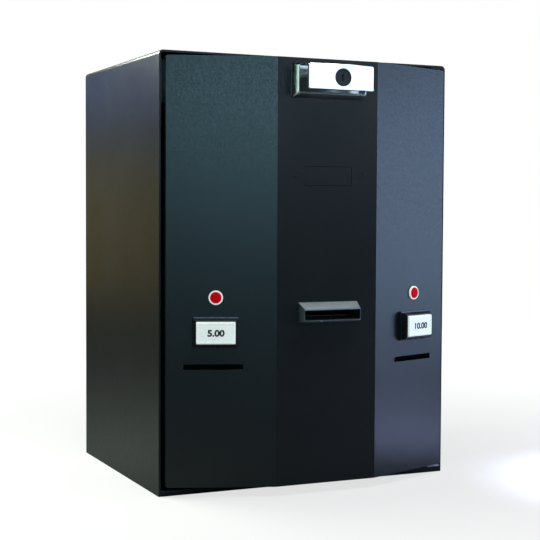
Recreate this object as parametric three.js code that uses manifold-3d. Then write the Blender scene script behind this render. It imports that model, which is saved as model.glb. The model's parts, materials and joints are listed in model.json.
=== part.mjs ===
// A counter-top card vending cabinet with a bill validator in its door, as an assembly of separate pieces.
// Millimetres, +Z up. The front faces -Y, +X is the viewer's right, and the origin is the middle of the base.
import * as THREE from "three";
import { mergeVertices } from "three/addons/utils/BufferGeometryUtils.js";
import { ConvexGeometry } from "three/addons/geometries/ConvexGeometry.js";
import Module from "manifold-3d";

const wasm = await Module();
wasm.setup();

// Driving dimensions of the cabinet.
const WIDTH = 428;
const DEPTH = 333;
const HEIGHT = 578;
const SHEET = 3;
const SHELL_BEND = 6;
const MOUNT_X = [-150, 150];
const FLOOR_HOLES_Y = [-110, 110];
const WALL_HOLES_Z = [140, 480];
const GAP = 0.3;
const LIP_HEIGHT = 8;
const FRONT = -DEPTH / 2;
const BACK = DEPTH / 2;
const INSIDE = WIDTH / 2 - SHEET;

// The door: a centre facet with a sloping facet on each side, all one sheet with turned-back edges.
const DOOR_SHEET = 2.5;
const DOOR_HALF = 207;
const DOOR_BOTTOM = 13;
const DOOR_TOP = 570.5;
const DOOR_EDGE_Y = FRONT - 8;
const DOOR_FACE_Y = FRONT - 58;
const DOOR_BACK_Y = DOOR_FACE_Y + DOOR_SHEET;
const BEND_X = 73;
const FLANGE = 20;
const DOOR_CORNER = 3;
const FACET_RUN = DOOR_HALF - BEND_X;
const FACET_ANGLE = Math.atan2(DOOR_EDGE_Y - DOOR_FACE_Y, FACET_RUN);
const PIVOT_X = 200;
const PIVOT_Y = FRONT - 3.5;
const PIN_RADIUS = 3;

// What each sloping facet carries, on one column at this distance along it from the door's edge.
const COLUMN = 64;
const LAMP_Z = 260;
const BUTTON_Z = 215.3;
const SLOT_Z = 170;
const LAMP_RADIUS = 9.5;
const LENS_RADIUS = 7.3;
const BUTTON_BASE = [59.6, 40];
const BUTTON_CAP = [50.4, 28.4];
const CAP_PROUD = 14.4;
const CAP_BACK = 3.6;
const SLOT = [77, 7];
const LEFT_SLOT_SHIFT = -3;

// The bill validator, which hangs on the centre facet.
const MOUTH = [80, 12];
const THROAT = [72, 6];
const MOUTH_Z = 237;
const BEZEL_BASE = { size: [87, 27], z: 239.5 };
const BEZEL_FRONT = { size: [82, 16], z: 237.25 };
const BEZEL_PROUD = 17;
const CHEEK_X = 52;
const CHEEK = 2;
const ROLLER_RADIUS = 8;
const ROLLER_X = [-22, 22];
const PULLEY_RADIUS = 7;
const FRONT_ROLLER_Y = -196;
const REAR_ROLLER_Y = -106;
const CASSETTE = { x: 48, y: [-72, -2], z: [262, 440], wall: 2 };

// The pop-out T-handle lock and the two latch bars that it drives.
const HANDLE_Z = 543;
const HANDLE_PLATE = [93.2, 33];
const PLATE_Z = HANDLE_Z + 0.5;
const HANDLE_OUT_Y = DOOR_FACE_Y - 37.5;
const HOUSING_BASE = [106, 44];
const HOUSING_RIM = [98, 38.6];
const HOUSING_PROUD = 12.5;
const BARREL_RADIUS = 13;
const PLUG_RADIUS = 11;
const SPINDLE_RADIUS = 4;
const LATCH_MODULE = 1.25;
const LATCH_TEETH = 12;
const BAR_Y = -141;
const BAR_THICK = 3;
const BAR_HEIGHT = 12;
const BAR_TIP = 183;

// The two card dispensers, which stand on a shelf behind the card slots.
const DISPENSER_X = 147;
const CARD = [76, 86];
const SHELF_TOP = 118;
const FEED_Y = -100;
const FEED_Z = 158.5;
const FEED_TEETH = 26;
const FEED_PINION_TEETH = 14;
const FEED_MODULE = 1.5;
const FEED_RADIUS = 8;
const CARD_FLOOR = 165.5;
const MAGAZINE_TOP = 400;

// Tooth proportions shared by every gear and rack, as shares of the module.
const PRESSURE = (20 * Math.PI) / 180;
const ADDENDUM = 0.6;
const DEDENDUM = 0.95;
const BACKLASH = 0.25;

const SHAFT_RADIUS = 3;
const STUD_RADIUS = 2.5;
const SCREW_HOLE_RADIUS = 4.5;
const ROUND_SIDES = 20;
const SMALL_SIDES = 12;

const FINISHES = {
  blackPaint: [0x14181a, 0.55, 0.3],
  zinc: [0xb8bcc0, 0.35, 0.9],
  chrome: [0xe4e6e8, 0.15, 1],
  blackPlastic: [0x151617, 0.45, 0],
  greyPlastic: [0x4a4d50, 0.6, 0],
  whitePlastic: [0xf2f4f0, 0.35, 0],
  redLens: [0xb00010, 0.2, 0],
  steel: [0x8d9194, 0.4, 0.9],
  aluminium: [0xc3c6c8, 0.4, 0.8],
  rubber: [0x1b1b1b, 0.9, 0],
  board: [0x1f5a34, 0.5, 0],
  brass: [0xc9a24a, 0.35, 0.9],
  nylon: [0xe6e2d4, 0.5, 0],
};

// ---- Shapes as solids ---------------------------------------------------------------------------

function toSolid(geometry) {
  const bare = geometry.clone();
  bare.deleteAttribute("normal");
  bare.deleteAttribute("uv");
  const merged = mergeVertices(bare, 1e-4);
  return new wasm.Manifold(
    new wasm.Mesh({
      numProp: 3,
      vertProperties: new Float32Array(merged.attributes.position.array),
      triVerts: new Uint32Array(merged.index.array),
    }),
  );
}

function toGeometry(solid) {
  const mesh = solid.getMesh();
  const geometry = new THREE.BufferGeometry();
  geometry.setAttribute("position", new THREE.BufferAttribute(mesh.vertProperties, 3));
  geometry.setIndex(new THREE.BufferAttribute(mesh.triVerts, 1));
  geometry.computeVertexNormals();
  return geometry;
}

function block([x0, x1], [y0, y1], [z0, z1]) {
  const geometry = new THREE.BoxGeometry(x1 - x0, y1 - y0, z1 - z0);
  return toSolid(geometry.translate((x0 + x1) / 2, (y0 + y1) / 2, (z0 + z1) / 2));
}

// Lays a geometry made along +Z so that it runs along the named axis instead.
function turn(geometry, axis) {
  const turns = {
    x: new THREE.Matrix4().set(0, 0, 1, 0, 1, 0, 0, 0, 0, 1, 0, 0, 0, 0, 0, 1),
    y: new THREE.Matrix4().set(1, 0, 0, 0, 0, 0, -1, 0, 0, 1, 0, 0, 0, 0, 0, 1),
    z: new THREE.Matrix4(),
  };
  return geometry.applyMatrix4(turns[axis]);
}

// Two mirror-image blocks, each between these two distances from the middle plane.
function pair(from, to, y, z) {
  return [block([-to, -from], y, z), block([from, to], y, z)];
}

// A shape drawn across the axis (in YZ for x, XZ for y, XY for z) and pulled from one place to another.
function prism(shape, axis, [from, to]) {
  const options = { depth: to - from, bevelEnabled: false, curveSegments: 6 };
  const geometry = new THREE.ExtrudeGeometry(shape, options);
  geometry.translate(0, 0, axis === "y" ? -to : from);
  return toSolid(turn(geometry, axis));
}

// A round bar along the axis, centred on the two other coordinates.
function rod(axis, radius, [a, b], [from, to], sides = ROUND_SIDES) {
  const geometry = new THREE.CylinderGeometry(radius, radius, to - from, sides);
  geometry.rotateX(Math.PI / 2).translate(a, b, axis === "y" ? -(from + to) / 2 : (from + to) / 2);
  return toSolid(turn(geometry, axis));
}

function rectangle(width, height, corner = 0, [cx, cy] = [0, 0]) {
  const [x, y] = [width / 2, height / 2];
  const shape = new THREE.Shape();
  if (corner === 0) {
    return polygon([[-x, -y], [x, -y], [x, y], [-x, y]].map(([u, v]) => [u + cx, v + cy]));
  }
  shape.absarc(cx + x - corner, cy + y - corner, corner, 0, Math.PI / 2);
  shape.absarc(cx - x + corner, cy + y - corner, corner, Math.PI / 2, Math.PI);
  shape.absarc(cx - x + corner, cy - y + corner, corner, Math.PI, 1.5 * Math.PI);
  shape.absarc(cx + x - corner, cy - y + corner, corner, 1.5 * Math.PI, 2 * Math.PI);
  shape.closePath();
  return shape;
}

function polygon(points) {
  return new THREE.Shape(points.map(([x, y]) => new THREE.Vector2(x, y)));
}

// A solid between two upright rectangles, each { size: [width, height], z } at its own place along Y.
function taper(near, nearY, far, farY) {
  const corners = ({ size: [w, h], z }, y) =>
    [[-1, -1], [1, -1], [1, 1], [-1, 1]].map(([u, v]) =>
      new THREE.Vector3((u * w) / 2, y, z + (v * h) / 2));
  return toSolid(new ConvexGeometry([...corners(near, nearY), ...corners(far, farY)]));
}

function join(first, ...others) {
  return others.reduce((all, one) => all.add(one), first);
}

function cut(first, ...others) {
  return others.reduce((all, one) => all.subtract(one), first);
}

function part(name, solid, finish) {
  const [color, roughness, metalness] = FINISHES[finish];
  const material = new THREE.MeshStandardMaterial({ color, roughness, metalness });
  const mesh = new THREE.Mesh(toGeometry(solid), material);
  mesh.name = name;
  return mesh;
}

// ---- Teeth --------------------------------------------------------------------------------------

function involute(angle) {
  return Math.tan(angle) - angle;
}

// A gear's outline: each tooth is centred on a multiple of the tooth angle, counted from first.
function gearOutline(teeth, module, first = 0) {
  const pitch = (teeth * module) / 2;
  const base = pitch * Math.cos(PRESSURE);
  const radii = [pitch - DEDENDUM * module, pitch + ADDENDUM * module];
  const flank = (radius) => involute(Math.acos(Math.min(1, base / radius)));
  const middle = Math.PI / (2 * teeth) - BACKLASH / (2 * pitch) + involute(PRESSURE);
  const half = (radius) => middle - flank(radius);
  const points = [];
  for (let tooth = 0; tooth < teeth; tooth++) {
    const centre = first + (tooth * 2 * Math.PI) / teeth;
    const at = (radius, side) => {
      const angle = centre + side * half(radius);
      return [radius * Math.cos(angle), radius * Math.sin(angle)];
    };
    points.push(...radii.map((r) => at(r, -1)), ...radii.toReversed().map((r) => at(r, 1)));
  }
  return points;
}

// A rack's outline: gaps centred on multiples of the tooth pitch between two ends, teeth on the named side.
function rackOutline(module, [from, to], pitchLine, side, backEdge) {
  const step = Math.PI * module;
  const half = step / 4 - BACKLASH / 2;
  const slope = Math.tan(PRESSURE);
  const [tip, root] = [ADDENDUM * module, DEDENDUM * module];
  const points = [[to, backEdge], [from, backEdge], [from, pitchLine - side * root]];
  for (let middle = (Math.floor(from / step) + 1.5) * step; middle < to - step / 2; middle += step) {
    points.push([middle - half - root * slope, pitchLine - side * root]);
    points.push([middle - half + tip * slope, pitchLine + side * tip]);
    points.push([middle + half - tip * slope, pitchLine + side * tip]);
    points.push([middle + half + root * slope, pitchLine - side * root]);
  }
  points.push([to, pitchLine - side * root]);
  return points;
}

// ---- The cabinet --------------------------------------------------------------------------------

function archOutline(half, top, bend) {
  const shape = new THREE.Shape();
  shape.moveTo(-half, 0);
  shape.lineTo(half, 0);
  shape.absarc(half - bend, top - bend, bend, 0, Math.PI / 2);
  shape.absarc(-half + bend, top - bend, bend, Math.PI / 2, Math.PI);
  shape.closePath();
  return shape;
}

function cabinetShell() {
  const outside = prism(archOutline(WIDTH / 2, HEIGHT, SHELL_BEND), "y", [FRONT, BACK]);
  const inside = prism(archOutline(INSIDE, HEIGHT - SHEET, SHELL_BEND - SHEET), "y", [FRONT - 1, BACK + 1]);
  return cut(outside, inside, block([-INSIDE, INSIDE], [FRONT - 1, BACK + 1], [-1, SHELL_BEND]));
}

function bottomPlate() {
  const half = INSIDE - GAP;
  const span = [-1, SHEET + 1];
  const holes = MOUNT_X.flatMap((x) => FLOOR_HOLES_Y.map((y) => rod("z", SCREW_HOLE_RADIUS, [x, y], span)));
  const lip = polygon([[FRONT, 0], [FRONT + SHEET, 0], [FRONT + SHEET, LIP_HEIGHT], [FRONT + 1.2, LIP_HEIGHT],
    [FRONT + 0.3, LIP_HEIGHT - 0.6], [FRONT, LIP_HEIGHT - 1.6]]);
  return cut(join(block([-half, half], [FRONT, BACK], [0, SHEET]), prism(lip, "x", [-half, half])), ...holes);
}

const INLET = { x: 120, z: 60, size: [28, 22] };

function backPlate() {
  const half = INSIDE - GAP;
  const span = [BACK - SHEET - 1, BACK + 1];
  const keyholes = MOUNT_X.flatMap((x) => WALL_HOLES_Z.map((z) => rod("y", SCREW_HOLE_RADIUS, [x, z], span)));
  const vents = [];
  for (let row = 0; row < 5; row++) {
    vents.push(prism(rectangle(70, 5, 0, [0, 90 + row * 12]), "y", span));
  }
  const inlet = prism(rectangle(...INLET.size, 0, [INLET.x, INLET.z]), "y", span);
  const plate = prism(archOutline(half, HEIGHT - SHEET - GAP, SHELL_BEND - SHEET), "y", [BACK - SHEET, BACK]);
  const below = block([-WIDTH, WIDTH], span, [-1, SHEET + GAP]);
  return cut(plate, below, inlet, ...keyholes, ...vents);
}

const LEAF_X = [187, 207];
const LEAF_Y = [PIVOT_Y - 4, PIVOT_Y + 26];
const LEAF_THICK = 2.5;

function hingeLeafTop() {
  const top = HEIGHT - SHEET - GAP;
  const leaf = block(LEAF_X, LEAF_Y, [top - LEAF_THICK, top]);
  return join(leaf, rod("z", PIN_RADIUS, [PIVOT_X, PIVOT_Y], [DOOR_TOP - 12, top - 1], SMALL_SIDES));
}

function hingeLeafBottom() {
  const level = LIP_HEIGHT + 1;
  const leaf = block(LEAF_X, LEAF_Y, [level, level + LEAF_THICK]);
  const foot = block(LEAF_X, [LEAF_Y[1] - LEAF_THICK, LEAF_Y[1]], [SHEET + GAP, level + 1]);
  const pinZ = [level + 1, DOOR_BOTTOM + 12];
  return join(leaf, foot, rod("z", PIN_RADIUS, [PIVOT_X, PIVOT_Y], pinZ, SMALL_SIDES));
}

// An angle bracket on the side wall. The end of a latch bar goes behind its front leg.
function latchStrike(side) {
  const wall = INSIDE - GAP;
  const heights = [512, 568];
  const leg = block([190, wall], [BAR_Y - 7, BAR_Y - 4], heights);
  const solid = join(leg, block([wall - SHEET, wall], [BAR_Y - 7, BAR_Y + 20], heights));
  return side < 0 ? solid.mirror([1, 0, 0]) : solid;
}

function equipmentShelf() {
  const half = INSIDE - GAP;
  const plate = block([-half, half], [-130, 150], [SHELF_TOP - 2, SHELF_TOP]);
  const sides = [-1, 1].map((s) => block([s > 0 ? half - 2 : -half, s > 0 ? half : 2 - half], [-130, 150],
    [SHELF_TOP - 20, SHELF_TOP - 1]));
  return join(plate, ...sides, block([-half, half], [-130, -128], [SHELF_TOP - 20, SHELF_TOP - 1]));
}

function powerSupply() {
  const box = block([40, 180], [-40, 100], [SHEET + GAP, 68]);
  const hollow = block([42, 178], [-38, 98], [SHEET + 2.3, 66]);
  const vents = [];
  for (let i = 0; i < 8; i++) {
    vents.push(block([52 + i * 15, 58 + i * 15], [-30, 90], [64, 70]));
  }
  return cut(box, hollow, ...vents);
}

function controlBoard() {
  const face = BACK - SHEET - GAP;
  const board = block([-80, 80], [face - 10, face - 8.4], [290, 410]);
  const posts = [-70, 70].flatMap((x) => [300, 400].map((z) => rod("y", 3, [x, z], [face - 9, face], 8)));
  const chips = [[-50, 370], [0, 380], [40, 350]].map(([x, z]) =>
    block([x - 14, x + 14], [face - 15, face - 9], [z - 9, z + 9]));
  const connectors = [-55, -25, 5, 35].map((x) => block([x, x + 22], [face - 20, face - 9], [296, 306]));
  return join(board, ...posts, ...chips, ...connectors);
}

function mainsInlet() {
  const face = [INLET.size[0] - 2 * GAP, INLET.size[1] - 2 * GAP];
  const body = prism(rectangle(...face, 0, [INLET.x, INLET.z]), "y", [BACK - 22, BACK]);
  const behind = BACK - SHEET - GAP;
  const flange = prism(rectangle(50, 26, 0, [INLET.x, INLET.z]), "y", [behind - 3, behind]);
  const socket = prism(rectangle(23, 16, 0, [INLET.x, INLET.z]), "y", [BACK - 16, BACK + 1]);
  const pins = [-7, 0, 7].map((x) => block([INLET.x + x - 1, INLET.x + x + 1], [BACK - 17, BACK - 4],
    [INLET.z - 2, INLET.z + 2]));
  return join(cut(join(body, flange), socket), ...pins);
}

// ---- The card dispensers. Made for the right-hand side, and mirrored for the left. --------------

const FEED_MOTOR = { y: FEED_Y + 24, z: FEED_Z - 18 };
const WALL_X = [DISPENSER_X - CARD[0] / 2 - 3, DISPENSER_X + CARD[0] / 2 + 3];
const MAGAZINE_Y = [-121, -121 + CARD[1] + 4];
const ROLLER_SPAN = [[DISPENSER_X - 26, DISPENSER_X - 12], [DISPENSER_X + 12, DISPENSER_X + 26]];

function dispenserFrame() {
  const wall = 2;
  const heights = [SHELF_TOP + GAP, MAGAZINE_TOP];
  const sides = [WALL_X[0], WALL_X[1] - wall].map((x) => block([x, x + wall], MAGAZINE_Y, heights));
  const rear = block(WALL_X, [MAGAZINE_Y[1] - wall, MAGAZINE_Y[1]], heights);
  const floor = block(WALL_X, MAGAZINE_Y, [CARD_FLOOR - 2, CARD_FLOOR]);
  const gate = [WALL_X[0], WALL_X[1] - 14].map((x) =>
    block([x, x + 14], [MAGAZINE_Y[0], MAGAZINE_Y[0] + wall], [CARD_FLOOR + 4, MAGAZINE_TOP]));
  const windows = ROLLER_SPAN.map(([a, b]) =>
    block([a - 1, b + 1], [FEED_Y - 7, FEED_Y + 7], [CARD_FLOOR - 3, CARD_FLOOR + 1]));
  const across = [WALL_X[0] - 1, WALL_X[1] + 1];
  const shaftHole = rod("x", SHAFT_RADIUS + GAP, [FEED_Y, FEED_Z], across, SMALL_SIDES);
  const motorHole = rod("x", 6, [FEED_MOTOR.y, FEED_MOTOR.z], [WALL_X[1] - wall - 1, WALL_X[1] + 1]);
  const through = [MAGAZINE_Y[1] - wall - 1, MAGAZINE_Y[1] + 1];
  const view = block([DISPENSER_X - 6, DISPENSER_X + 6], through, [190, 380]);
  return cut(join(...sides, rear, floor, ...gate), ...windows, shaftHole, motorHole, view);
}

function feedMotor() {
  const centre = [FEED_MOTOR.y, FEED_MOTOR.z];
  const can = rod("x", 13, centre, [WALL_X[1] - 50, WALL_X[1] - 2 - GAP]);
  const boss = rod("x", 5, centre, [WALL_X[1] - 3, WALL_X[1] + 0.6], SMALL_SIDES);
  const cap = rod("x", 6, centre, [WALL_X[1] - 54, WALL_X[1] - 49], SMALL_SIDES);
  return join(can, boss, cap);
}

function feedRoller() {
  const shaft = rod("x", SHAFT_RADIUS, [FEED_Y, FEED_Z], [WALL_X[0] - 2, WALL_X[1] + 8], SMALL_SIDES);
  const rollers = ROLLER_SPAN.map((span) => rod("x", FEED_RADIUS, [FEED_Y, FEED_Z], span));
  return join(shaft, ...rollers);
}

// A gear's tooth or gap that faces along the line between two centres.
const FEED_LINE = Math.atan2(FEED_MOTOR.z - FEED_Z, FEED_MOTOR.y - FEED_Y);
const GEAR_X = [WALL_X[1] + 1.2, WALL_X[1] + 6.2];

function feedGear() {
  const outline = polygon(gearOutline(FEED_TEETH, FEED_MODULE, FEED_LINE));
  const gear = prism(outline, "x", GEAR_X).translate(0, FEED_Y, FEED_Z);
  const through = [GEAR_X[0] - 1, GEAR_X[1] + 1];
  const lightening = [0, 1, 2, 3].map((i) => {
    const angle = (i * Math.PI) / 2;
    const centre = [FEED_Y + 11 * Math.cos(angle), FEED_Z + 11 * Math.sin(angle)];
    return rod("x", 4, centre, through, SMALL_SIDES);
  });
  return cut(gear, rod("x", SHAFT_RADIUS + GAP, [FEED_Y, FEED_Z], through, SMALL_SIDES), ...lightening);
}

function feedPinion() {
  const first = FEED_LINE + Math.PI + Math.PI / FEED_PINION_TEETH;
  const outline = polygon(gearOutline(FEED_PINION_TEETH, FEED_MODULE, first));
  return prism(outline, "x", GEAR_X).translate(0, FEED_MOTOR.y, FEED_MOTOR.z);
}

function cardWeight() {
  const inset = 4;
  const [x0, x1] = [WALL_X[0] + inset, WALL_X[1] - inset];
  const span = [MAGAZINE_Y[0] + inset, MAGAZINE_Y[1] - inset];
  const body = block([x0, x1], span, [CARD_FLOOR + 2.5, CARD_FLOOR + 14.5]);
  const knobZ = [CARD_FLOOR + 13.5, CARD_FLOOR + 28.5];
  const knob = block([DISPENSER_X - 10, DISPENSER_X + 10], [-88, -68], knobZ);
  return join(body, knob);
}

// ---- The door panel -----------------------------------------------------------------------------

function doorPlan(inset, backEdge) {
  const half = DOOR_HALF - inset;
  const bend = BEND_X - inset * Math.tan(FACET_ANGLE / 2);
  const edge = DOOR_EDGE_Y + inset / Math.cos(FACET_ANGLE) - inset * Math.tan(FACET_ANGLE);
  const front = DOOR_FACE_Y + inset;
  return [[-half, backEdge], [-half, edge], [-bend, front], [bend, front], [half, edge], [half, backEdge]];
}

function onFacet(solid, side) {
  const turned = solid.rotate([0, 0, (side * FACET_ANGLE * 180) / Math.PI]);
  const x = DOOR_HALF - COLUMN * Math.cos(FACET_ANGLE);
  return turned.translate(side * x, DOOR_EDGE_Y - COLUMN * Math.sin(FACET_ANGLE), 0);
}

const FACET_CUTS = [-4, 8];
const BUTTON_APERTURE = [44, 26];
const COVER = { size: [69.5, 25.5], z: 418, studZ: 419, studX: 47.4 };
const VALIDATOR_STUDS = [[-50, 331], [50, 331], [-30, 190.5], [30, 190.5]];
const STUD_END = DOOR_BACK_Y + 7;

function facetApertures(side) {
  const lamp = rod("y", 8.5, [0, LAMP_Z], FACET_CUTS);
  const button = prism(rectangle(...BUTTON_APERTURE, 0, [0, BUTTON_Z]), "y", FACET_CUTS);
  const slot = prism(rectangle(...SLOT, 0, [side < 0 ? LEFT_SLOT_SHIFT : 0, SLOT_Z]), "y", FACET_CUTS);
  return [lamp, button, slot];
}

function coverHoles(radius, span) {
  return [-1, 1].map((s) => rod("y", radius, [s * COVER.studX, COVER.studZ], span, SMALL_SIDES));
}

function doorPanel() {
  const flangeEnd = DOOR_EDGE_Y + FLANGE;
  const middle = [0, (DOOR_TOP + DOOR_BOTTOM) / 2];
  const outline = rectangle(2 * DOOR_HALF, DOOR_TOP - DOOR_BOTTOM, DOOR_CORNER, middle);
  const outside = prism(polygon(doorPlan(0, flangeEnd)), "z", [DOOR_BOTTOM, DOOR_TOP])
    .intersect(prism(outline, "y", [DOOR_FACE_Y - 1, flangeEnd + 1]));
  const inner = [DOOR_BOTTOM + DOOR_SHEET, DOOR_TOP - DOOR_SHEET];
  const inside = prism(polygon(doorPlan(DOOR_SHEET, flangeEnd + 1)), "z", inner);
  const span = [DOOR_FACE_Y - 1, DOOR_BACK_Y + 1];
  const mouth = prism(rectangle(84, 18, 0, [0, MOUTH_Z]), "y", span);
  const cover = prism(rectangle(...COVER.size, 1, [0, COVER.z]), "y", span);
  const coverStuds = coverHoles(4 + GAP, span);
  const housing = prism(rectangle(44, 32, 0, [0, HANDLE_Z]), "y", span);
  const pins = [[0, DOOR_BOTTOM + 15], [DOOR_TOP - 15, HEIGHT]].map((ends) =>
    rod("z", PIN_RADIUS + GAP, [PIVOT_X, PIVOT_Y], ends, SMALL_SIDES));
  const studY = [DOOR_BACK_Y - 1, STUD_END];
  const studs = VALIDATOR_STUDS.map(([x, z]) => rod("y", STUD_RADIUS, [x, z], studY, 10));
  const facets = [-1, 1].flatMap((side) => facetApertures(side).map((solid) => onFacet(solid, side)));
  return join(cut(outside, inside, mouth, cover, ...coverStuds, housing, ...pins, ...facets), ...studs);
}

function blankCover() {
  const plate = prism(rectangle(COVER.size[0] - 2 * GAP, COVER.size[1] - 2 * GAP, 1, [0, COVER.z]), "y",
    [DOOR_FACE_Y + 0.2, DOOR_BACK_Y + 1]);
  const strap = block([-COVER.studX - 8, COVER.studX + 8], [DOOR_BACK_Y + GAP, DOOR_BACK_Y + 2.3],
    [COVER.studZ - 9, COVER.studZ + 9]);
  return join(plate, strap, ...coverHoles(4, [DOOR_FACE_Y, DOOR_BACK_Y + 1]));
}

// ---- What the sloping facets carry -----------------------------------------------------------------
// In a facet's own frame: X runs along it, Y goes into the cabinet and its face is at Y = 0.

function lampRing() {
  const flange = rod("y", LAMP_RADIUS, [0, LAMP_Z], [-3, -GAP], 32);
  const tube = rod("y", 8.1, [0, LAMP_Z], [-1, 20], ROUND_SIDES);
  return cut(join(flange, tube), rod("y", LENS_RADIUS + GAP, [0, LAMP_Z], [-4, 8], 32));
}

function lampLens() {
  const profile = [new THREE.Vector2(0, -4)];
  for (let step = 1; step <= 3; step++) {
    const share = step / 3;
    profile.push(new THREE.Vector2(LENS_RADIUS * share, -4 + 1.8 * share ** 2));
  }
  profile.push(new THREE.Vector2(LENS_RADIUS, 7), new THREE.Vector2(0, 7));
  return toSolid(new THREE.LatheGeometry(profile, ROUND_SIDES).translate(0, 0, LAMP_Z));
}

function buttonBezel() {
  const base = { size: BUTTON_BASE, z: BUTTON_Z };
  const step = { size: [56, 36.4], z: BUTTON_Z };
  const rim = { size: [54, 32], z: BUTTON_Z };
  const body = join(taper(base, -GAP, base, -4), taper(step, -3, step, -8), taper(step, -8, rim, -12.5));
  const hole = prism(rectangle(BUTTON_CAP[0] + 0.8, BUTTON_CAP[1] + 0.8, 0, [0, BUTTON_Z]), "y", [-14, 1]);
  return cut(body, hole);
}

function buttonCap() {
  const face = { size: BUTTON_CAP, z: BUTTON_Z };
  const front = { size: [BUTTON_CAP[0] - 1.6, BUTTON_CAP[1] - 1.6], z: BUTTON_Z };
  const sides = taper(face, -CAP_BACK, face, 0.8 - CAP_PROUD);
  const edge = taper(face, 0.9 - CAP_PROUD, front, -CAP_PROUD);
  return join(sides, edge, prism(rectangle(36, 18, 0, [0, BUTTON_Z]), "y", [-CAP_BACK - 1, 8]));
}

function switchBody() {
  const body = prism(rectangle(50, 32, 2, [0, BUTTON_Z]), "y", [DOOR_SHEET + GAP, 34]);
  const pocket = prism(rectangle(38, 20, 0, [0, BUTTON_Z]), "y", [0, 13]);
  const level = [BUTTON_Z - 0.5, BUTTON_Z + 0.5];
  const terminals = [-12, 0, 12].map((x) => block([x - 2.4, x + 2.4], [33, 40], level));
  return join(cut(body, pocket), ...terminals);
}

// A chute that carries a card from its dispenser to its slot: made for the right, in the cabinet's own frame.
function cardChute() {
  const half = SLOT[0] / 2 + 0.5;
  const depth = [-220, MAGAZINE_Y[0] - 5];
  const outer = block([DISPENSER_X - half - 2, DISPENSER_X + half + 2], depth, [SLOT_Z - 8, SLOT_Z + 10]);
  const way = [SLOT_Z - 5.5, SLOT_Z + 7.5];
  const inner = block([DISPENSER_X - half, DISPENSER_X + half], [-230, depth[1] + 1], way);
  const plan = doorPlan(DOOR_SHEET + GAP, 0);
  return cut(outer, inner).intersect(prism(polygon(plan), "z", [SLOT_Z - 20, SLOT_Z + 20]));
}

// ---- The lock and the latch ---------------------------------------------------------------------

const LATCH_PITCH = (LATCH_MODULE * LATCH_TEETH) / 2;
const BARS_Y = [BAR_Y, BAR_Y + BAR_THICK];

function handleHousing() {
  const rimY = DOOR_FACE_Y - HOUSING_PROUD;
  const base = { size: HOUSING_BASE, z: HANDLE_Z - 2 };
  const rim = { size: HOUSING_RIM, z: HANDLE_Z - 0.2 };
  const foot = taper(base, DOOR_FACE_Y - GAP, base, DOOR_FACE_Y - 2.5);
  const slope = taper(base, DOOR_FACE_Y - 2.5, rim, rimY);
  const boss = prism(rectangle(42, 30, 0, [0, HANDLE_Z]), "y", [DOOR_FACE_Y - 1, DOOR_FACE_Y + 24]);
  const recess = prism(rectangle(HANDLE_PLATE[0] + 1.6, HANDLE_PLATE[1] + 1.6, 2, [0, PLATE_Z]), "y",
    [rimY - 1, rimY + 9]);
  const bore = rod("y", BARREL_RADIUS + GAP, [0, HANDLE_Z], [rimY, DOOR_FACE_Y + 25]);
  return cut(join(foot, slope, boss), recess, bore);
}

function handlePlate() {
  const [half, crown] = [HANDLE_PLATE[0] / 2, 4];
  const back = HANDLE_OUT_Y + 4;
  const shape = new THREE.Shape();
  shape.moveTo(half, back);
  shape.lineTo(-half, back);
  shape.lineTo(-half, HANDLE_OUT_Y);
  shape.quadraticCurveTo(0, HANDLE_OUT_Y - 2 * crown, half, HANDLE_OUT_Y);
  shape.closePath();
  const level = [PLATE_Z - HANDLE_PLATE[1] / 2, PLATE_Z + HANDLE_PLATE[1] / 2];
  const rounded = prism(rectangle(...HANDLE_PLATE, 1.6, [0, PLATE_Z]), "y", [HANDLE_OUT_Y - 9, back + 1]);
  const plate = prism(shape, "z", level).intersect(rounded);
  return cut(plate, rod("y", PLUG_RADIUS + GAP, [0, HANDLE_Z], [HANDLE_OUT_Y - 9, back + 1]));
}

function handleBarrel() {
  const start = HANDLE_OUT_Y + 4 + GAP;
  const barrel = rod("y", BARREL_RADIUS, [0, HANDLE_Z], [start, start + 50]);
  const spindle = rod("y", SPINDLE_RADIUS, [0, HANDLE_Z], [start + 49, BARS_Y[1] + 10], SMALL_SIDES);
  return cut(join(barrel, spindle), rod("y", PLUG_RADIUS + GAP, [0, HANDLE_Z], [start - 1, start + 28]));
}

function lockPlug() {
  const face = HANDLE_OUT_Y - 2.4;
  const plug = rod("y", PLUG_RADIUS, [0, HANDLE_Z], [face, face + 32]);
  const key = block([-0.8, 0.8], [face - 1, face + 12], [HANDLE_Z - 4.5, HANDLE_Z + 4.5]);
  return cut(plug, key);
}

function latchPinion() {
  const span = [BARS_Y[0] - 1, BARS_Y[1] + 1];
  const gear = prism(polygon(gearOutline(LATCH_TEETH, LATCH_MODULE)), "y", span).translate(0, 0, HANDLE_Z);
  return cut(gear, rod("y", SPINDLE_RADIUS + GAP, [0, HANDLE_Z], [span[0] - 1, span[1] + 1], SMALL_SIDES));
}

// The left bar is over the pinion with its teeth down, the right bar is under it with its teeth up.
function latchBar(side) {
  const above = -side;
  const root = LATCH_PITCH + DEDENDUM * LATCH_MODULE;
  const outline = rackOutline(LATCH_MODULE, [-38, 10], LATCH_PITCH, -1, root + BAR_HEIGHT);
  const rack = prism(polygon(outline), "y", BARS_Y);
  const bar = block([9, BAR_TIP], BARS_Y, [root + 1, root + BAR_HEIGHT]);
  const right = join(rack, bar);
  const solid = above > 0 ? right.mirror([1, 0, 0]) : right.mirror([0, 0, 1]);
  return solid.translate(0, 0, HANDLE_Z);
}

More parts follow.
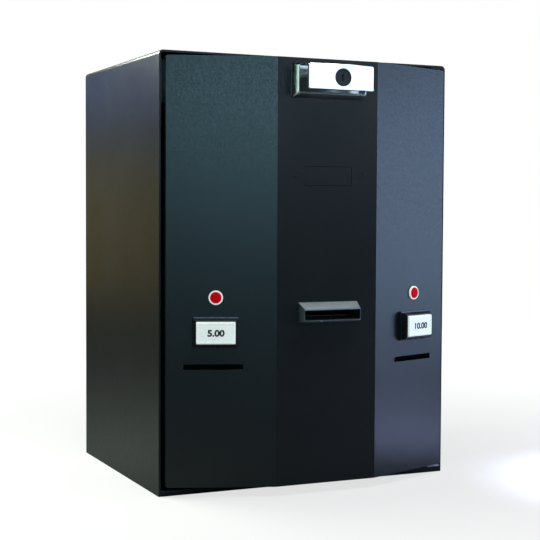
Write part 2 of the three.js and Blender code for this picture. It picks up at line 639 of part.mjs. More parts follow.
function latchFrame() {
  const level = [HANDLE_Z - 25, HANDLE_Z + 25];
  const web = block([-176, 176], [BARS_Y[0] - 6, BARS_Y[0] - 3], level);
  const legs = pair(62, 65, [DOOR_BACK_Y + GAP, BARS_Y[0] - 4], level);
  const feet = pair(52, 70, [DOOR_BACK_Y + GAP, DOOR_BACK_Y + 3], level);
  const middle = LATCH_PITCH + DEDENDUM * LATCH_MODULE + 1 + (BAR_HEIGHT - 1) / 2;
  const keepers = [-1, 1].flatMap((s) => [56, 160].map((x) => {
    const z = HANDLE_Z - s * middle;
    const solid = block([s * x - 5, s * x + 5], [BARS_Y[0] - 4, BARS_Y[1] + 3], [z - 9, z + 9]);
    const window = [BARS_Y[0] - GAP, BARS_Y[1] + GAP];
    return cut(solid, block([s * x - 6, s * x + 6], window, [z - 5.8, z + 5.8]));
  }));
  const hole = rod("y", SPINDLE_RADIUS + GAP, [0, HANDLE_Z], [BARS_Y[0] - 7, BARS_Y[0] - 2], SMALL_SIDES);
  return cut(join(web, ...legs, ...feet, ...keepers), hole);
}

// ---- The bill validator -------------------------------------------------------------------------

function billBezel() {
  const faceY = DOOR_FACE_Y - BEZEL_PROUD;
  const body = join(
    taper(BEZEL_BASE, DOOR_FACE_Y - GAP, BEZEL_BASE, DOOR_FACE_Y - 3),
    taper(BEZEL_BASE, DOOR_FACE_Y - 3, BEZEL_FRONT, faceY),
    prism(rectangle(83, 17, 0, [0, MOUTH_Z]), "y", [DOOR_FACE_Y - 1, DOOR_BACK_Y + 3]),
  );
  const [wide, narrow] = [MOUTH, THROAT].map((size) => ({ size, z: MOUTH_Z }));
  const mouth = taper(wide, faceY - 0.5, narrow, DOOR_FACE_Y - 2);
  const throat = prism(rectangle(...THROAT, 0, [0, MOUTH_Z]), "y", [DOOR_FACE_Y - 3, DOOR_BACK_Y + 4]);
  return cut(body, mouth, throat);
}

const UNIT_Y = [DOOR_BACK_Y + 4, CASSETTE.y[0] - 4];
const UPPER_Z = [MOUTH_Z + 3, 276];
const TRAY_HINGE = { y: -88, z: 214 };
const SHAFT_Z = MOUTH_Z + 1.2 + ROLLER_RADIUS;
const BELT_X = [CHEEK_X + 3, CHEEK_X + 9];
const VALIDATOR_TEETH = 30;
const VALIDATOR_PINION_TEETH = 12;
const VALIDATOR_MODULE = 1;
const MOTOR = { y: REAR_ROLLER_Y + 12.6, z: SHAFT_Z + 16.8 };

function validatorFrame() {
  const inner = CHEEK_X - CHEEK;
  const cheeks = pair(inner, CHEEK_X, UNIT_Y, [208, UPPER_Z[1]]);
  const deck = block([-CHEEK_X, CHEEK_X], UNIT_Y, [UPPER_Z[1] - CHEEK, UPPER_Z[1]]);
  const guide = block([-CHEEK_X, CHEEK_X], [UNIT_Y[0], -84], [UPPER_Z[0], UPPER_Z[0] + 2]);
  const rear = block([-CHEEK_X, CHEEK_X], [UNIT_Y[1] - 2, UNIT_Y[1]], [250, UPPER_Z[1]]);
  const flange = cut(
    block([-CHEEK_X - 12, CHEEK_X + 12], [DOOR_BACK_Y + GAP, UNIT_Y[0] + 0.5], [182, 340]),
    block([-CHEEK_X + 4, CHEEK_X - 4], [-230, -200], [200, UPPER_Z[1] - 1]),
    block([-CHEEK_X + 14, CHEEK_X - 14], [-230, -200], [290, 325]),
    ...VALIDATOR_STUDS.map(([x, z]) => rod("y", STUD_RADIUS + GAP, [x, z], [-230, -200], SMALL_SIDES)),
  );
  const windows = [FRONT_ROLLER_Y, REAR_ROLLER_Y].flatMap((y) =>
    ROLLER_X.map((x) => block([x - 8, x + 8], [y - 9, y + 9], [UPPER_Z[0] - 1, UPPER_Z[0] + 3])));
  const across = [-CHEEK_X - 1, CHEEK_X + 1];
  const holes = [FRONT_ROLLER_Y, REAR_ROLLER_Y].map((y) =>
    rod("x", SHAFT_RADIUS + GAP, [y, SHAFT_Z], across, SMALL_SIDES));
  const hinge = rod("x", 2.3, [TRAY_HINGE.y, TRAY_HINGE.z], across, 12);
  const motorHole = rod("x", 5.5, [MOTOR.y, MOTOR.z], [inner - 1, CHEEK_X + 1], SMALL_SIDES);
  return cut(join(...cheeks, deck, guide, rear, flange), ...windows, ...holes, hinge, motorHole);
}

function driveShaft(y, pulleySpan) {
  const shaft = rod("x", SHAFT_RADIUS, [y, SHAFT_Z], [-CHEEK_X - 3, pulleySpan[1] + 8], SMALL_SIDES);
  const rollers = ROLLER_X.map((x) => rod("x", ROLLER_RADIUS, [y, SHAFT_Z], [x - 6, x + 6]));
  return join(shaft, ...rollers, rod("x", PULLEY_RADIUS, [y, SHAFT_Z], pulleySpan));
}

// The rear shaft also carries the gear that the motor's pinion drives, outside the belt.
const DRIVE_GEAR_X = [BELT_X[1] + 2, BELT_X[1] + 6];
const DRIVE_LINE = Math.atan2(MOTOR.z - SHAFT_Z, MOTOR.y - REAR_ROLLER_Y);

function rearDriveShaft() {
  const outline = polygon(gearOutline(VALIDATOR_TEETH, VALIDATOR_MODULE, DRIVE_LINE));
  const gear = prism(outline, "x", DRIVE_GEAR_X).translate(0, REAR_ROLLER_Y, SHAFT_Z);
  return join(driveShaft(REAR_ROLLER_Y, BELT_X), gear);
}

function motorPinion() {
  const first = DRIVE_LINE + Math.PI + Math.PI / VALIDATOR_PINION_TEETH;
  const outline = polygon(gearOutline(VALIDATOR_PINION_TEETH, VALIDATOR_MODULE, first));
  return prism(outline, "x", DRIVE_GEAR_X).translate(0, MOTOR.y, MOTOR.z);
}

function validatorMotor() {
  const centre = [MOTOR.y, MOTOR.z];
  const can = rod("x", 9, centre, [CHEEK_X - CHEEK - 34, CHEEK_X - CHEEK - GAP]);
  return join(can, rod("x", 2, centre, [CHEEK_X - 5, DRIVE_GEAR_X[0] - GAP], SMALL_SIDES));
}

function timingBelt() {
  const loop = (radius) => {
    const shape = new THREE.Shape();
    shape.absarc(REAR_ROLLER_Y, SHAFT_Z, radius, -Math.PI / 2, Math.PI / 2);
    shape.absarc(FRONT_ROLLER_Y, SHAFT_Z, radius, Math.PI / 2, 1.5 * Math.PI);
    shape.closePath();
    return shape;
  };
  const inner = PULLEY_RADIUS + GAP;
  const hole = prism(loop(inner), "x", [BELT_X[0] - 1, BELT_X[1] + 1]);
  return cut(prism(loop(inner + 1.5), "x", [BELT_X[0] + 0.5, BELT_X[1] - 0.5]), hole);
}

// The lower half of the bill path: a tray on a cross pin at its rear, which drops open at the front.
function pathTray() {
  const half = CHEEK_X - CHEEK - 0.6;
  const y = [STUD_END + 3, -84];
  const top = block([-half, half], y, [MOUTH_Z - 4.5, MOUTH_Z - 2.5]);
  const sides = pair(half - 2, half, y, [211, MOUTH_Z - 3]);
  const ribs = [-170, -130].map((ribY) => block([-half, half], [ribY, ribY + 2], [218, MOUTH_Z - 3]));
  const front = block([-half, half], [y[0], y[0] + 2], [211, MOUTH_Z - 3]);
  const pin = rod("x", 2, [TRAY_HINGE.y, TRAY_HINGE.z], [-CHEEK_X - 2, CHEEK_X + 2], 12);
  return join(top, ...sides, ...ribs, front, pin);
}

// ---- The stacker and its cash cassette ----------------------------------------------------------

const STACKER_Y = [-150, CASSETTE.y[0] - 4];
const STACKER_Z = [UPPER_Z[1] + GAP, 400];
const PUSHER_Y = -84;
const RACK_Z = 340;
const STACKER_TEETH = 18;
const STACKER_PITCH = STACKER_TEETH / 2;
const STACKER_PINION = { y: -118, z: RACK_Z + STACKER_PITCH };

function stackerFrame() {
  const [x, t] = [CHEEK_X, CHEEK];
  const cheeks = pair(x - t, x, STACKER_Y, STACKER_Z);
  const foot = block([-x, x], STACKER_Y, [STACKER_Z[0], STACKER_Z[0] + t]);
  const front = block([-x, x], [STACKER_Y[0], STACKER_Y[0] + t], STACKER_Z);
  const pinion = [STACKER_PINION.y, STACKER_PINION.z];
  const hole = rod("x", SHAFT_RADIUS + GAP, pinion, [-x - 1, x + 1], SMALL_SIDES);
  const slot = block([-14, 14], [STACKER_Y[0] - 1, STACKER_Y[0] + 5], [RACK_Z - 14, RACK_Z + 2]);
  const shelf = CASSETTE.z[0] - GAP - t;
  const railY = [STACKER_Y[1] + GAP, CASSETTE.y[1]];
  const rails = pair(x - t, x, railY, [shelf, 300]);
  const roots = pair(x - t, x, [STACKER_Y[1] - 1, CASSETTE.y[1]], [STACKER_Z[0], 300]);
  const ledge = block([-x, x], railY, [shelf, shelf + t]);
  return cut(join(...cheeks, foot, front, ...rails, ...roots, ledge), hole, slot);
}

function pusherPlate() {
  const plate = block([-24, 24], [PUSHER_Y, PUSHER_Y + 3], [292, 388]);
  const outline = rackOutline(1, [-34, 34], 0, 1, -9);
  const rack = prism(polygon(outline), "x", [-3, 3]);
  const stem = block([-3, 3], [PUSHER_Y - 3, PUSHER_Y + 1], [RACK_Z - 9, RACK_Z - 2]);
  return join(plate, rack.translate(0, STACKER_PINION.y, RACK_Z), stem);
}

function stackerPinion() {
  const outline = polygon(gearOutline(STACKER_TEETH, 1, -Math.PI / 2));
  const gear = prism(outline, "x", [-4, 4]).translate(0, STACKER_PINION.y, STACKER_PINION.z);
  const centre = [STACKER_PINION.y, STACKER_PINION.z];
  return join(gear, rod("x", SHAFT_RADIUS, centre, [-CHEEK_X - 3, CHEEK_X + 0.5], SMALL_SIDES));
}

function stackerMotor() {
  const centre = [STACKER_PINION.y, STACKER_PINION.z];
  const box = rod("x", 14, centre, [CHEEK_X + GAP, CHEEK_X + 32]);
  return cut(box, rod("x", 4, centre, [CHEEK_X, CHEEK_X + 2], SMALL_SIDES));
}

const LID_PIN = { x: CASSETTE.x - 3, y: CASSETTE.y[1] + 3 };
const EAR = 12;

function cashCassette() {
  const { x, y, z, wall } = CASSETTE;
  const box = block([-x, x], y, z);
  const inside = block([wall - x, x - wall], [y[0] + wall, y[1] + 1], [z[0] + wall, z[1] - wall]);
  const window = block([-29, 29], [y[0] - 1, y[0] + wall + 1], [276, 410]);
  const grip = block([-30, 30], [-45, -30], [z[1] - 1, z[1] + 18]);
  const handle = cut(grip, block([-24, 24], [-50, -25], [z[1], z[1] + 12]));
  const ears = [z[0], z[1] - EAR].map((low) =>
    block([x - 8, x], [y[1] - 1, LID_PIN.y + 3], [low, low + EAR]));
  const pins = rod("z", 1.9, [LID_PIN.x, LID_PIN.y], [z[0] - 1, z[1] + 1], SMALL_SIDES);
  return join(cut(join(cut(box, inside, window), ...ears), pins), handle);
}

function cassetteLid() {
  const { x, y, z } = CASSETTE;
  const clear = EAR + GAP * 2;
  const sheet = block([-x, LID_PIN.x], [LID_PIN.y - 1.5, LID_PIN.y + 1], [z[0] + clear, z[1] - clear]);
  const knuckle = rod("z", 2.8, [LID_PIN.x, LID_PIN.y], [z[0] + clear, z[1] - clear], 12);
  const pin = rod("z", 1.5, [LID_PIN.x, LID_PIN.y], [z[0] + 1, z[1] - 1], 12);
  const catchBlock = block([-x + 4, -x + 12], [LID_PIN.y, LID_PIN.y + 6], [345, 365]);
  return join(sheet, knuckle, pin, catchBlock);
}

function pressurePlate() {
  const { x } = CASSETTE;
  const plate = block([-x + 5, x - 5], [-62, -60], [270, 432]);
  return join(plate, block([-8, 8], [-61, -52], [340, 362]));
}

// ---- The assembly -------------------------------------------------------------------------------

const SIDES = [[-1, "left"], [1, "right"]];

function cabinet() {
  const group = new THREE.Group();
  group.add(
    part("cabinet_shell", cabinetShell(), "blackPaint"),
    part("bottom_plate", bottomPlate(), "blackPaint"),
    part("back_plate", backPlate(), "blackPaint"),
    part("hinge_leaf_top", hingeLeafTop(), "blackPaint"),
    part("hinge_leaf_bottom", hingeLeafBottom(), "zinc"),
    part("equipment_shelf", equipmentShelf(), "zinc"),
    part("power_supply", powerSupply(), "aluminium"),
    part("control_board", controlBoard(), "board"),
    part("mains_inlet", mainsInlet(), "blackPlastic"),
  );
  for (const [side, name] of SIDES) {
    group.add(part(`latch_strike_${name}`, latchStrike(side), "zinc"));
  }
  return group;
}

function dispensers() {
  const group = new THREE.Group();
  const pieces = [
    ["dispenser_frame", dispenserFrame(), "zinc"],
    ["feed_motor", feedMotor(), "steel"],
    ["feed_roller", feedRoller(), "rubber"],
    ["feed_gear", feedGear(), "nylon"],
    ["feed_pinion", feedPinion(), "brass"],
    ["card_weight", cardWeight(), "steel"],
  ];
  for (const [side, name] of SIDES) {
    for (const [piece, solid, finish] of pieces) {
      group.add(part(`${piece}_${name}`, side < 0 ? solid.mirror([1, 0, 0]) : solid, finish));
    }
  }
  return group;
}

function facetHardware() {
  const group = new THREE.Group();
  const pieces = [
    ["lamp_ring", lampRing(), "whitePlastic"],
    ["lamp_lens", lampLens(), "redLens"],
    ["button_bezel", buttonBezel(), "blackPlastic"],
    ["button_cap", buttonCap(), "whitePlastic"],
    ["switch_body", switchBody(), "greyPlastic"],
  ];
  for (const [side, name] of SIDES) {
    const facet = new THREE.Group();
    facet.rotation.z = side * FACET_ANGLE;
    facet.position.x = side * (DOOR_HALF - COLUMN * Math.cos(FACET_ANGLE));
    facet.position.y = DOOR_EDGE_Y - COLUMN * Math.sin(FACET_ANGLE);
    for (const [piece, solid, finish] of pieces) {
      facet.add(part(`${piece}_${name}`, solid, finish));
    }
    const chute = side < 0 ? cardChute().mirror([1, 0, 0]) : cardChute();
    group.add(facet, part(`card_chute_${name}`, chute, "zinc"));
  }
  return group;
}

function doorAndLock() {
  const group = new THREE.Group();
  group.add(
    part("door_panel", doorPanel(), "blackPaint"),
    part("blank_cover", blankCover(), "blackPaint"),
    part("t_handle_housing", handleHousing(), "chrome"),
    part("handle_plate", handlePlate(), "chrome"),
    part("handle_barrel", handleBarrel(), "steel"),
    part("lock_plug", lockPlug(), "blackPlastic"),
    part("latch_pinion", latchPinion(), "brass"),
    part("latch_frame", latchFrame(), "zinc"),
  );
  for (const [side, name] of SIDES) {
    group.add(part(`latch_bar_${name}`, latchBar(side), "steel"));
  }
  return group;
}

function validator() {
  const group = new THREE.Group();
  group.add(
    part("bill_bezel", billBezel(), "blackPlastic"),
    part("validator_frame", validatorFrame(), "greyPlastic"),
    part("front_drive_shaft", driveShaft(FRONT_ROLLER_Y, BELT_X), "rubber"),
    part("rear_drive_shaft", rearDriveShaft(), "rubber"),
    part("motor_pinion", motorPinion(), "brass"),
    part("validator_motor", validatorMotor(), "steel"),
    part("timing_belt", timingBelt(), "rubber"),
    part("path_tray", pathTray(), "greyPlastic"),
    part("stacker_frame", stackerFrame(), "greyPlastic"),
    part("stacker_motor", stackerMotor(), "steel"),
    part("stacker_pinion", stackerPinion(), "nylon"),
    part("pusher_plate", pusherPlate(), "steel"),
    part("cash_cassette", cashCassette(), "blackPlastic"),
    part("cassette_lid", cassetteLid(), "blackPlastic"),
    part("pressure_plate", pressurePlate(), "aluminium"),
  );
  return group;
}

const assembly = new THREE.Group();
assembly.add(cabinet(), dispensers(), doorAndLock(), facetHardware(), validator());

export default assembly;
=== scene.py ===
"""The looks of a card vending cabinet with a bill validator: finishes, edges, fittings and stage."""

import json
import math

import bmesh
import bpy
from mathutils import Matrix, Vector

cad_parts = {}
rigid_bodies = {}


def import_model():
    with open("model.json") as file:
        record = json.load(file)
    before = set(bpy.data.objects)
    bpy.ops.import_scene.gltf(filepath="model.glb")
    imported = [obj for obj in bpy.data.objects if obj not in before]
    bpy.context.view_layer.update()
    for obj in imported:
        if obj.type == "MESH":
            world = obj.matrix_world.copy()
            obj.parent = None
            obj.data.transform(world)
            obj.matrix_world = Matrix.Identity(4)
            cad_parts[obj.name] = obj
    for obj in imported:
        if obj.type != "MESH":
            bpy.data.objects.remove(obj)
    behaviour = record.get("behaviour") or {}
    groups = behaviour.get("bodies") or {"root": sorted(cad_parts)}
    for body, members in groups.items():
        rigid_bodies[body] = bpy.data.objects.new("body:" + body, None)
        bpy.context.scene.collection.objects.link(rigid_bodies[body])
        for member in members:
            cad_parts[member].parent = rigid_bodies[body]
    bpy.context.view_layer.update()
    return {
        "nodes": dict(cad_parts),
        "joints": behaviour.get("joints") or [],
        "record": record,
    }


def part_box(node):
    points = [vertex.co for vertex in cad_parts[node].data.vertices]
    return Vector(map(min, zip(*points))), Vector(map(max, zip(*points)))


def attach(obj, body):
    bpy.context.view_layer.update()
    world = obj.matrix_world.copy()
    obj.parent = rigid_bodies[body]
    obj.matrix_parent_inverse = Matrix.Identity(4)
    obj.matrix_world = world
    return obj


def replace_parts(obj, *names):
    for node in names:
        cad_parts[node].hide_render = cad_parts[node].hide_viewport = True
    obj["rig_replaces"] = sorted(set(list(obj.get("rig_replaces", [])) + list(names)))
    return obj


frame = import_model()

MM = 0.001
SIDES = {"left": -1, "right": 1}
UP = Vector((0, 0, 1))
SLOTS = {entry["node"]: entry["material_slot"] for entry in frame["record"]["subparts"]}
BODIES = {node: body for body, nodes in frame["record"]["behaviour"]["bodies"].items() for node in nodes}


# ---- Materials -------------------------------------------------------------------------------------------

def new_material(name, colour, roughness, metallic=0.0, **sockets):
    material = bpy.data.materials.new(name)
    material.use_nodes = True
    principled = material.node_tree.nodes["Principled BSDF"]
    principled.inputs["Base Color"].default_value = (*colour, 1)
    principled.inputs["Roughness"].default_value = roughness
    principled.inputs["Metallic"].default_value = metallic
    for socket, value in sockets.items():
        principled.inputs[socket.replace("_", " ")].default_value = value
    return material, material.node_tree, principled


def noise(tree, scale, detail=4, stretch=(1, 1, 1)):
    """Noise in the object's own metres, with scale in waves a metre."""
    where = tree.nodes.new("ShaderNodeTexCoord")
    mapping = tree.nodes.new("ShaderNodeMapping")
    mapping.inputs["Scale"].default_value = stretch
    texture = tree.nodes.new("ShaderNodeTexNoise")
    texture.inputs["Scale"].default_value = scale
    texture.inputs["Detail"].default_value = detail
    tree.links.new(where.outputs["Object"], mapping.inputs["Vector"])
    tree.links.new(mapping.outputs["Vector"], texture.inputs["Vector"])
    return texture.outputs["Fac"]


def ramp(tree, source, stops):
    node = tree.nodes.new("ShaderNodeValToRGB")
    node.color_ramp.elements.remove(node.color_ramp.elements[1])
    for index, (place, colour) in enumerate(stops):
        element = node.color_ramp.elements[0] if index == 0 else node.color_ramp.elements.new(place)
        element.position = place
        element.color = (*colour, 1)
    tree.links.new(source, node.inputs["Fac"])
    return node.outputs["Color"]


def tint(tree, principled, source, stops):
    tree.links.new(ramp(tree, source, stops), principled.inputs["Base Color"])


def vary_roughness(tree, principled, source, low, high):
    node = tree.nodes.new("ShaderNodeMapRange")
    node.inputs["From Min"].default_value = 0.3
    node.inputs["From Max"].default_value = 0.7
    node.inputs["To Min"].default_value = low
    node.inputs["To Max"].default_value = high
    tree.links.new(source, node.inputs["Value"])
    tree.links.new(node.outputs["Result"], principled.inputs["Roughness"])


def bump(tree, principled, source, strength, height):
    node = tree.nodes.new("ShaderNodeBump")
    node.inputs["Strength"].default_value = strength
    node.inputs["Distance"].default_value = height
    tree.links.new(source, node.inputs["Height"])
    tree.links.new(node.outputs["Normal"], principled.inputs["Normal"])


def scaled(colour, factor):
    return tuple(min(1.0, c * factor) for c in colour)


def powder_coat(name, colour):
    """Satin powder paint: a fine even grain, faint clouding and a slightly uneven gloss."""
    material, tree, principled = new_material(name, colour, 0.32)
    tint(tree, principled, noise(tree, 14, 5), [(0.3, scaled(colour, 0.86)), (0.7, scaled(colour, 1.16))])
    vary_roughness(tree, principled, noise(tree, 320, 5), 0.28, 0.37)
    bump(tree, principled, noise(tree, 1500, 3), 0.3, 0.00012)
    return material


def plated(name, colour, roughness, grain=(1, 1, 1), spread=0.08, marks=0.12):
    """Bright metal with fine handling marks."""
    material, tree, principled = new_material(name, colour, roughness, 1.0)
    tint(tree, principled, noise(tree, 45, 4), [(0.3, scaled(colour, 0.93)), (0.7, scaled(colour, 1.05))])
    vary_roughness(tree, principled, noise(tree, 260, 4, grain), roughness - spread, roughness + spread)
    bump(tree, principled, noise(tree, 900, 2, grain), marks, 0.00006)
    return material


def moulded(name, colour, roughness, grain_scale=1800, grain=0.2, **sockets):
    """Moulded plastic or rubber with a spark-eroded grain."""
    material, tree, principled = new_material(name, colour, roughness, **sockets)
    tint(tree, principled, noise(tree, 30, 3), [(0.3, scaled(colour, 0.9)), (0.7, scaled(colour, 1.1))])
    vary_roughness(tree, principled, noise(tree, 120, 3), roughness - 0.05, roughness + 0.06)
    bump(tree, principled, noise(tree, grain_scale, 2), grain, 0.0001)
    return material


def painted_glow_plastic(name, colour, glow):
    """Translucent pale plastic that glows by itself: painted brightness that stands in for light it doesn't
    get, with no lamp behind it.
    """
    material = moulded(name, colour, 0.35, grain=0.05, Subsurface_Weight=0.2)
    principled = material.node_tree.nodes["Principled BSDF"]
    # The emission is painted brightness, not a lamp's light.
    principled.inputs["Emission Color"].default_value = (*colour, 1)
    principled.inputs["Emission Strength"].default_value = glow
    return material


def lamp_glass(name, colour):
    """A red lens with a moulded pattern of small prisms, lit a little from behind."""
    material, tree, principled = new_material(name, colour, 0.45, Specular_IOR_Level=0.03)
    where = tree.nodes.new("ShaderNodeTexCoord")
    prisms = tree.nodes.new("ShaderNodeTexVoronoi")
    prisms.inputs["Scale"].default_value = 900
    tree.links.new(where.outputs["Object"], prisms.inputs["Vector"])
    facets = [(0.0, scaled(colour, 1.25)), (0.8, scaled(colour, 0.6))]
    tint(tree, principled, prisms.outputs["Distance"], facets)
    bump(tree, principled, prisms.outputs["Distance"], 0.25, 0.0002)
    principled.inputs["Emission Color"].default_value = (0.8, 0.003, 0.012, 1)
    principled.inputs["Emission Strength"].default_value = 0.3
    return material


def circuit_board(name):
    """Green solder mask with paler tracks."""
    colour = (0.015, 0.16, 0.06)
    material, tree, principled = new_material(name, colour, 0.35)
    where = tree.nodes.new("ShaderNodeTexCoord")
    turned = tree.nodes.new("ShaderNodeMapping")
    turned.inputs["Rotation"].default_value = (math.pi / 2, 0, 0)
    tracks = tree.nodes.new("ShaderNodeTexBrick")
    tracks.inputs["Scale"].default_value = 90
    tracks.inputs["Mortar Size"].default_value = 0.03
    tracks.inputs["Color1"].default_value = (*colour, 1)
    tracks.inputs["Color2"].default_value = (*scaled(colour, 0.8), 1)
    tracks.inputs["Mortar"].default_value = (0.05, 0.3, 0.12, 1)
    tree.links.new(where.outputs["Object"], turned.inputs["Vector"])
    tree.links.new(turned.outputs["Vector"], tracks.inputs["Vector"])
    tree.links.new(tracks.outputs["Color"], principled.inputs["Base Color"])
    return material


MATERIALS = {
    "black_paint": powder_coat("black_powder_coat", (0.008, 0.009, 0.010)),
    "zinc_plate": plated("zinc_plate", (0.62, 0.64, 0.66), 0.34),
    "chrome": plated("bright_chrome", (0.92, 0.93, 0.93), 0.09, spread=0.03),
    "satin_nickel": plated("satin_nickel", (0.62, 0.66, 0.65), 0.2, spread=0.04, marks=0.03),
    "graphite": plated("graphite_metal", (0.32, 0.375, 0.39), 0.45),
    "black_plastic": moulded("black_plastic", (0.016, 0.017, 0.019), 0.3),
    "grey_plastic": moulded("grey_plastic", (0.05, 0.053, 0.056), 0.5),
    # white_plastic glows by itself: painted brightness on the lamp rings and key caps.
    "white_plastic": painted_glow_plastic("white_plastic", (0.80, 0.84, 0.79), 0.54),
    "red_lens": lamp_glass("red_lens", (0.5, 0.002, 0.008)),
    "steel": plated("drawn_steel", (0.42, 0.43, 0.44), 0.3, grain=(0.2, 8, 8)),
    "aluminium": plated("aluminium_sheet", (0.72, 0.73, 0.74), 0.38, grain=(8, 8, 0.3)),
    "rubber": moulded("rubber", (0.02, 0.02, 0.02), 0.8, 900, 0.4),
    "circuit_board": circuit_board("solder_mask"),
    "brass": plated("brass", (0.70, 0.50, 0.20), 0.28),
    "nylon": moulded("nylon", (0.72, 0.69, 0.60), 0.45),
}
PRINT_INK = moulded("dark_grey_ink", (0.02, 0.022, 0.022), 0.5, grain=0.05)
# Near-black with hardly any gloss: bristle whose black is also painted shade for the card slots' mouths.
SHADE_BRISTLE = moulded("painted_shade_bristle", (0.002, 0.002, 0.002), 0.9, 900, 0.3, Specular_IOR_Level=0.02)


# ---- Meshes ----------------------------------------------------------------------------------------------

class Face:
    """A flat face of the door. u runs along it to the viewer's right, depth goes inwards and z is height."""

    def __init__(self, origin, inward):
        self.origin, self.inward = Vector(origin), Vector(inward).normalized()
        self.along = self.inward.cross(UP)

    def at(self, u, depth, z):
        return self.origin + self.along * u + self.inward * depth + UP * z

    def reach(self, node):
        """A CAD node's (lowest, highest) along the face, into it and upwards."""
        places = [v.co - self.origin for v in frame["nodes"][node].data.vertices]
        return [(min(values), max(values)) for values in
                ([p.dot(axis) for p in places] for axis in (self.along, self.inward, UP))]


def to_object(name, mesh, smooth_angle=35):
    """A bmesh as an object, smooth where its faces meet at less than the angle, in degrees."""
    bmesh.ops.recalc_face_normals(mesh, faces=mesh.faces)
    limit = math.radians(smooth_angle)
    for face in mesh.faces:
        face.smooth = True
    for edge in mesh.edges:
        edge.smooth = edge.calc_face_angle(math.pi) < limit
    data = bpy.data.meshes.new(name)
    mesh.to_mesh(data)
    mesh.free()
    piece = bpy.data.objects.new(name, data)
    bpy.context.scene.collection.objects.link(piece)
    normals = piece.modifiers.new("flat_faces_stay_flat", "WEIGHTED_NORMAL")
    normals.keep_sharp, normals.weight = True, 100
    return piece


def finish_piece(name, mesh, body, slot, replaced=(), material=None, smooth_angle=35):
    piece = to_object(name, mesh, smooth_angle)
    piece.data.materials.append(material or MATERIALS[slot])
    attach(piece, body)
    if replaced:
        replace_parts(piece, *replaced)
    return piece


def flat_mesh(node):
    """A CAD node's mesh with its triangles joined into flat faces."""
    mesh = bmesh.new()
    mesh.from_mesh(frame["nodes"][node].data)
    bmesh.ops.remove_doubles(mesh, verts=mesh.verts, dist=1e-6)
    bmesh.ops.dissolve_limit(mesh, angle_limit=math.radians(0.5), verts=mesh.verts, edges=mesh.edges)
    return mesh


def round_edges(mesh, width, segments=2, sharp=30, wanted=None, corners=True):
    """Rounds the sharp edges that wanted accepts, by their two end points, to this width in metres.
    Inside corners are left sharp unless corners is true."""
    chosen = [e for e in mesh.edges if e.calc_face_angle(0) > math.radians(sharp)]
    if not corners:
        chosen = [e for e in chosen if e.calc_face_angle_signed(0) > 0]
    if wanted:
        chosen = [e for e in chosen if wanted(e.verts[0].co, e.verts[1].co)]
    bmesh.ops.bevel(mesh, geom=chosen, offset=width, offset_type="OFFSET", segments=segments, profile=0.5,
                    affect="EDGES", clamp_overlap=True)


def fine(node):
    """A CAD node again, with its outside edges rounded as the real piece's are."""
    mesh = flat_mesh(node)
    round_edges(mesh, 0.4 * MM, corners=False)
    return finish_piece(f"fine_{node}", mesh, BODIES[node], SLOTS[node], [node])


def rounded(width, height, corner, centre=(0, 0), steps=6):
    """A rounded rectangle's points, counter-clockwise, in metres."""
    points = []
    for quarter, (sx, sy) in enumerate(((1, 1), (-1, 1), (-1, -1), (1, -1))):
        middle = (centre[0] + sx * (width / 2 - corner), centre[1] + sy * (height / 2 - corner))
        for step in range(steps + 1):
            angle = (quarter + step / steps) * math.pi / 2
            points.append((middle[0] + corner * math.cos(angle), middle[1] + corner * math.sin(angle)))
    return points


def circle(radius, centre=(0, 0), steps=64):
    turns = [2 * math.pi * i / steps for i in range(steps)]
    return [(centre[0] + radius * math.cos(t), centre[1] + radius * math.sin(t)) for t in turns]


def resampled(points, spacing):
    """The same closed outline with more points on its straight stretches."""
    result = []
    for (u0, v0), (u1, v1) in zip(points, points[1:] + points[:1]):
        parts = max(1, round(math.hypot(u1 - u0, v1 - v0) / spacing))
        result += [(u0 + (u1 - u0) * i / parts, v0 + (v1 - v0) * i / parts) for i in range(parts)]
    return result


def skin(rings, place, closed=False, mesh=None):
    """A surface through rings, each (points, depth), where depth is a number or a function of (u, v). place
    turns (u, depth, v) into a position. The ends are capped, unless the last ring joins the first."""
    mesh = mesh or bmesh.new()
    deep = [(points, depth if callable(depth) else lambda u, v, d=depth: d) for points, depth in rings]
    made = [[mesh.verts.new(place(u, depth(u, v), v)) for u, v in points] for points, depth in deep]
    pairs = list(zip(made, made[1:])) + ([(made[-1], made[0])] if closed else [])
    for near, far in pairs:
        for i in range(len(near)):
            j = (i + 1) % len(near)
            mesh.faces.new((near[i], near[j], far[j], far[i]))
    if not closed:
        mesh.faces.new(list(reversed(made[0])))
        mesh.faces.new(made[-1])
    return mesh


def lathe(profile, place, centre=(0, 0), closed=False, steps=64, mesh=None):
    """A round surface from (radius, depth) pairs. A closed profile joins its last ring to its first."""
    return skin([(circle(r, centre, steps), depth) for r, depth in profile], place, closed, mesh)


# ---- The door and its fittings ---------------------------------------------------------------------------

RING_PROUD = 3 * MM
VALIDATOR_STUDS = [(x * MM, z * MM) for x, z in ((-50, 331), (50, 331), (-30, 190.5), (30, 190.5))]
AXIS = 0.01 * MM  # the radius at which a turned piece's end is closed
CENTRE = Face((0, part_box("door_panel")[0].y, 0), (0, 1, 0))


def side_face(side):
    """The door's sloping face on one side, with u counted from the column of the lamp and the button."""
    inward = Vector(next(j["axis"] for j in frame["joints"] if j["name"] == f"button_{side}_press"))
    bare = Face((0, 0, 0), inward)
    (left, right), (front, _), _ = bare.reach(f"lamp_ring_{side}")
    return Face(bare.at((left + right) / 2, front + RING_PROUD, 0), inward)


FACETS = {side: side_face(side) for side in SIDES}


def middle(span):
    return (span[0] + span[1]) / 2


def length(span):
    return span[1] - span[0]


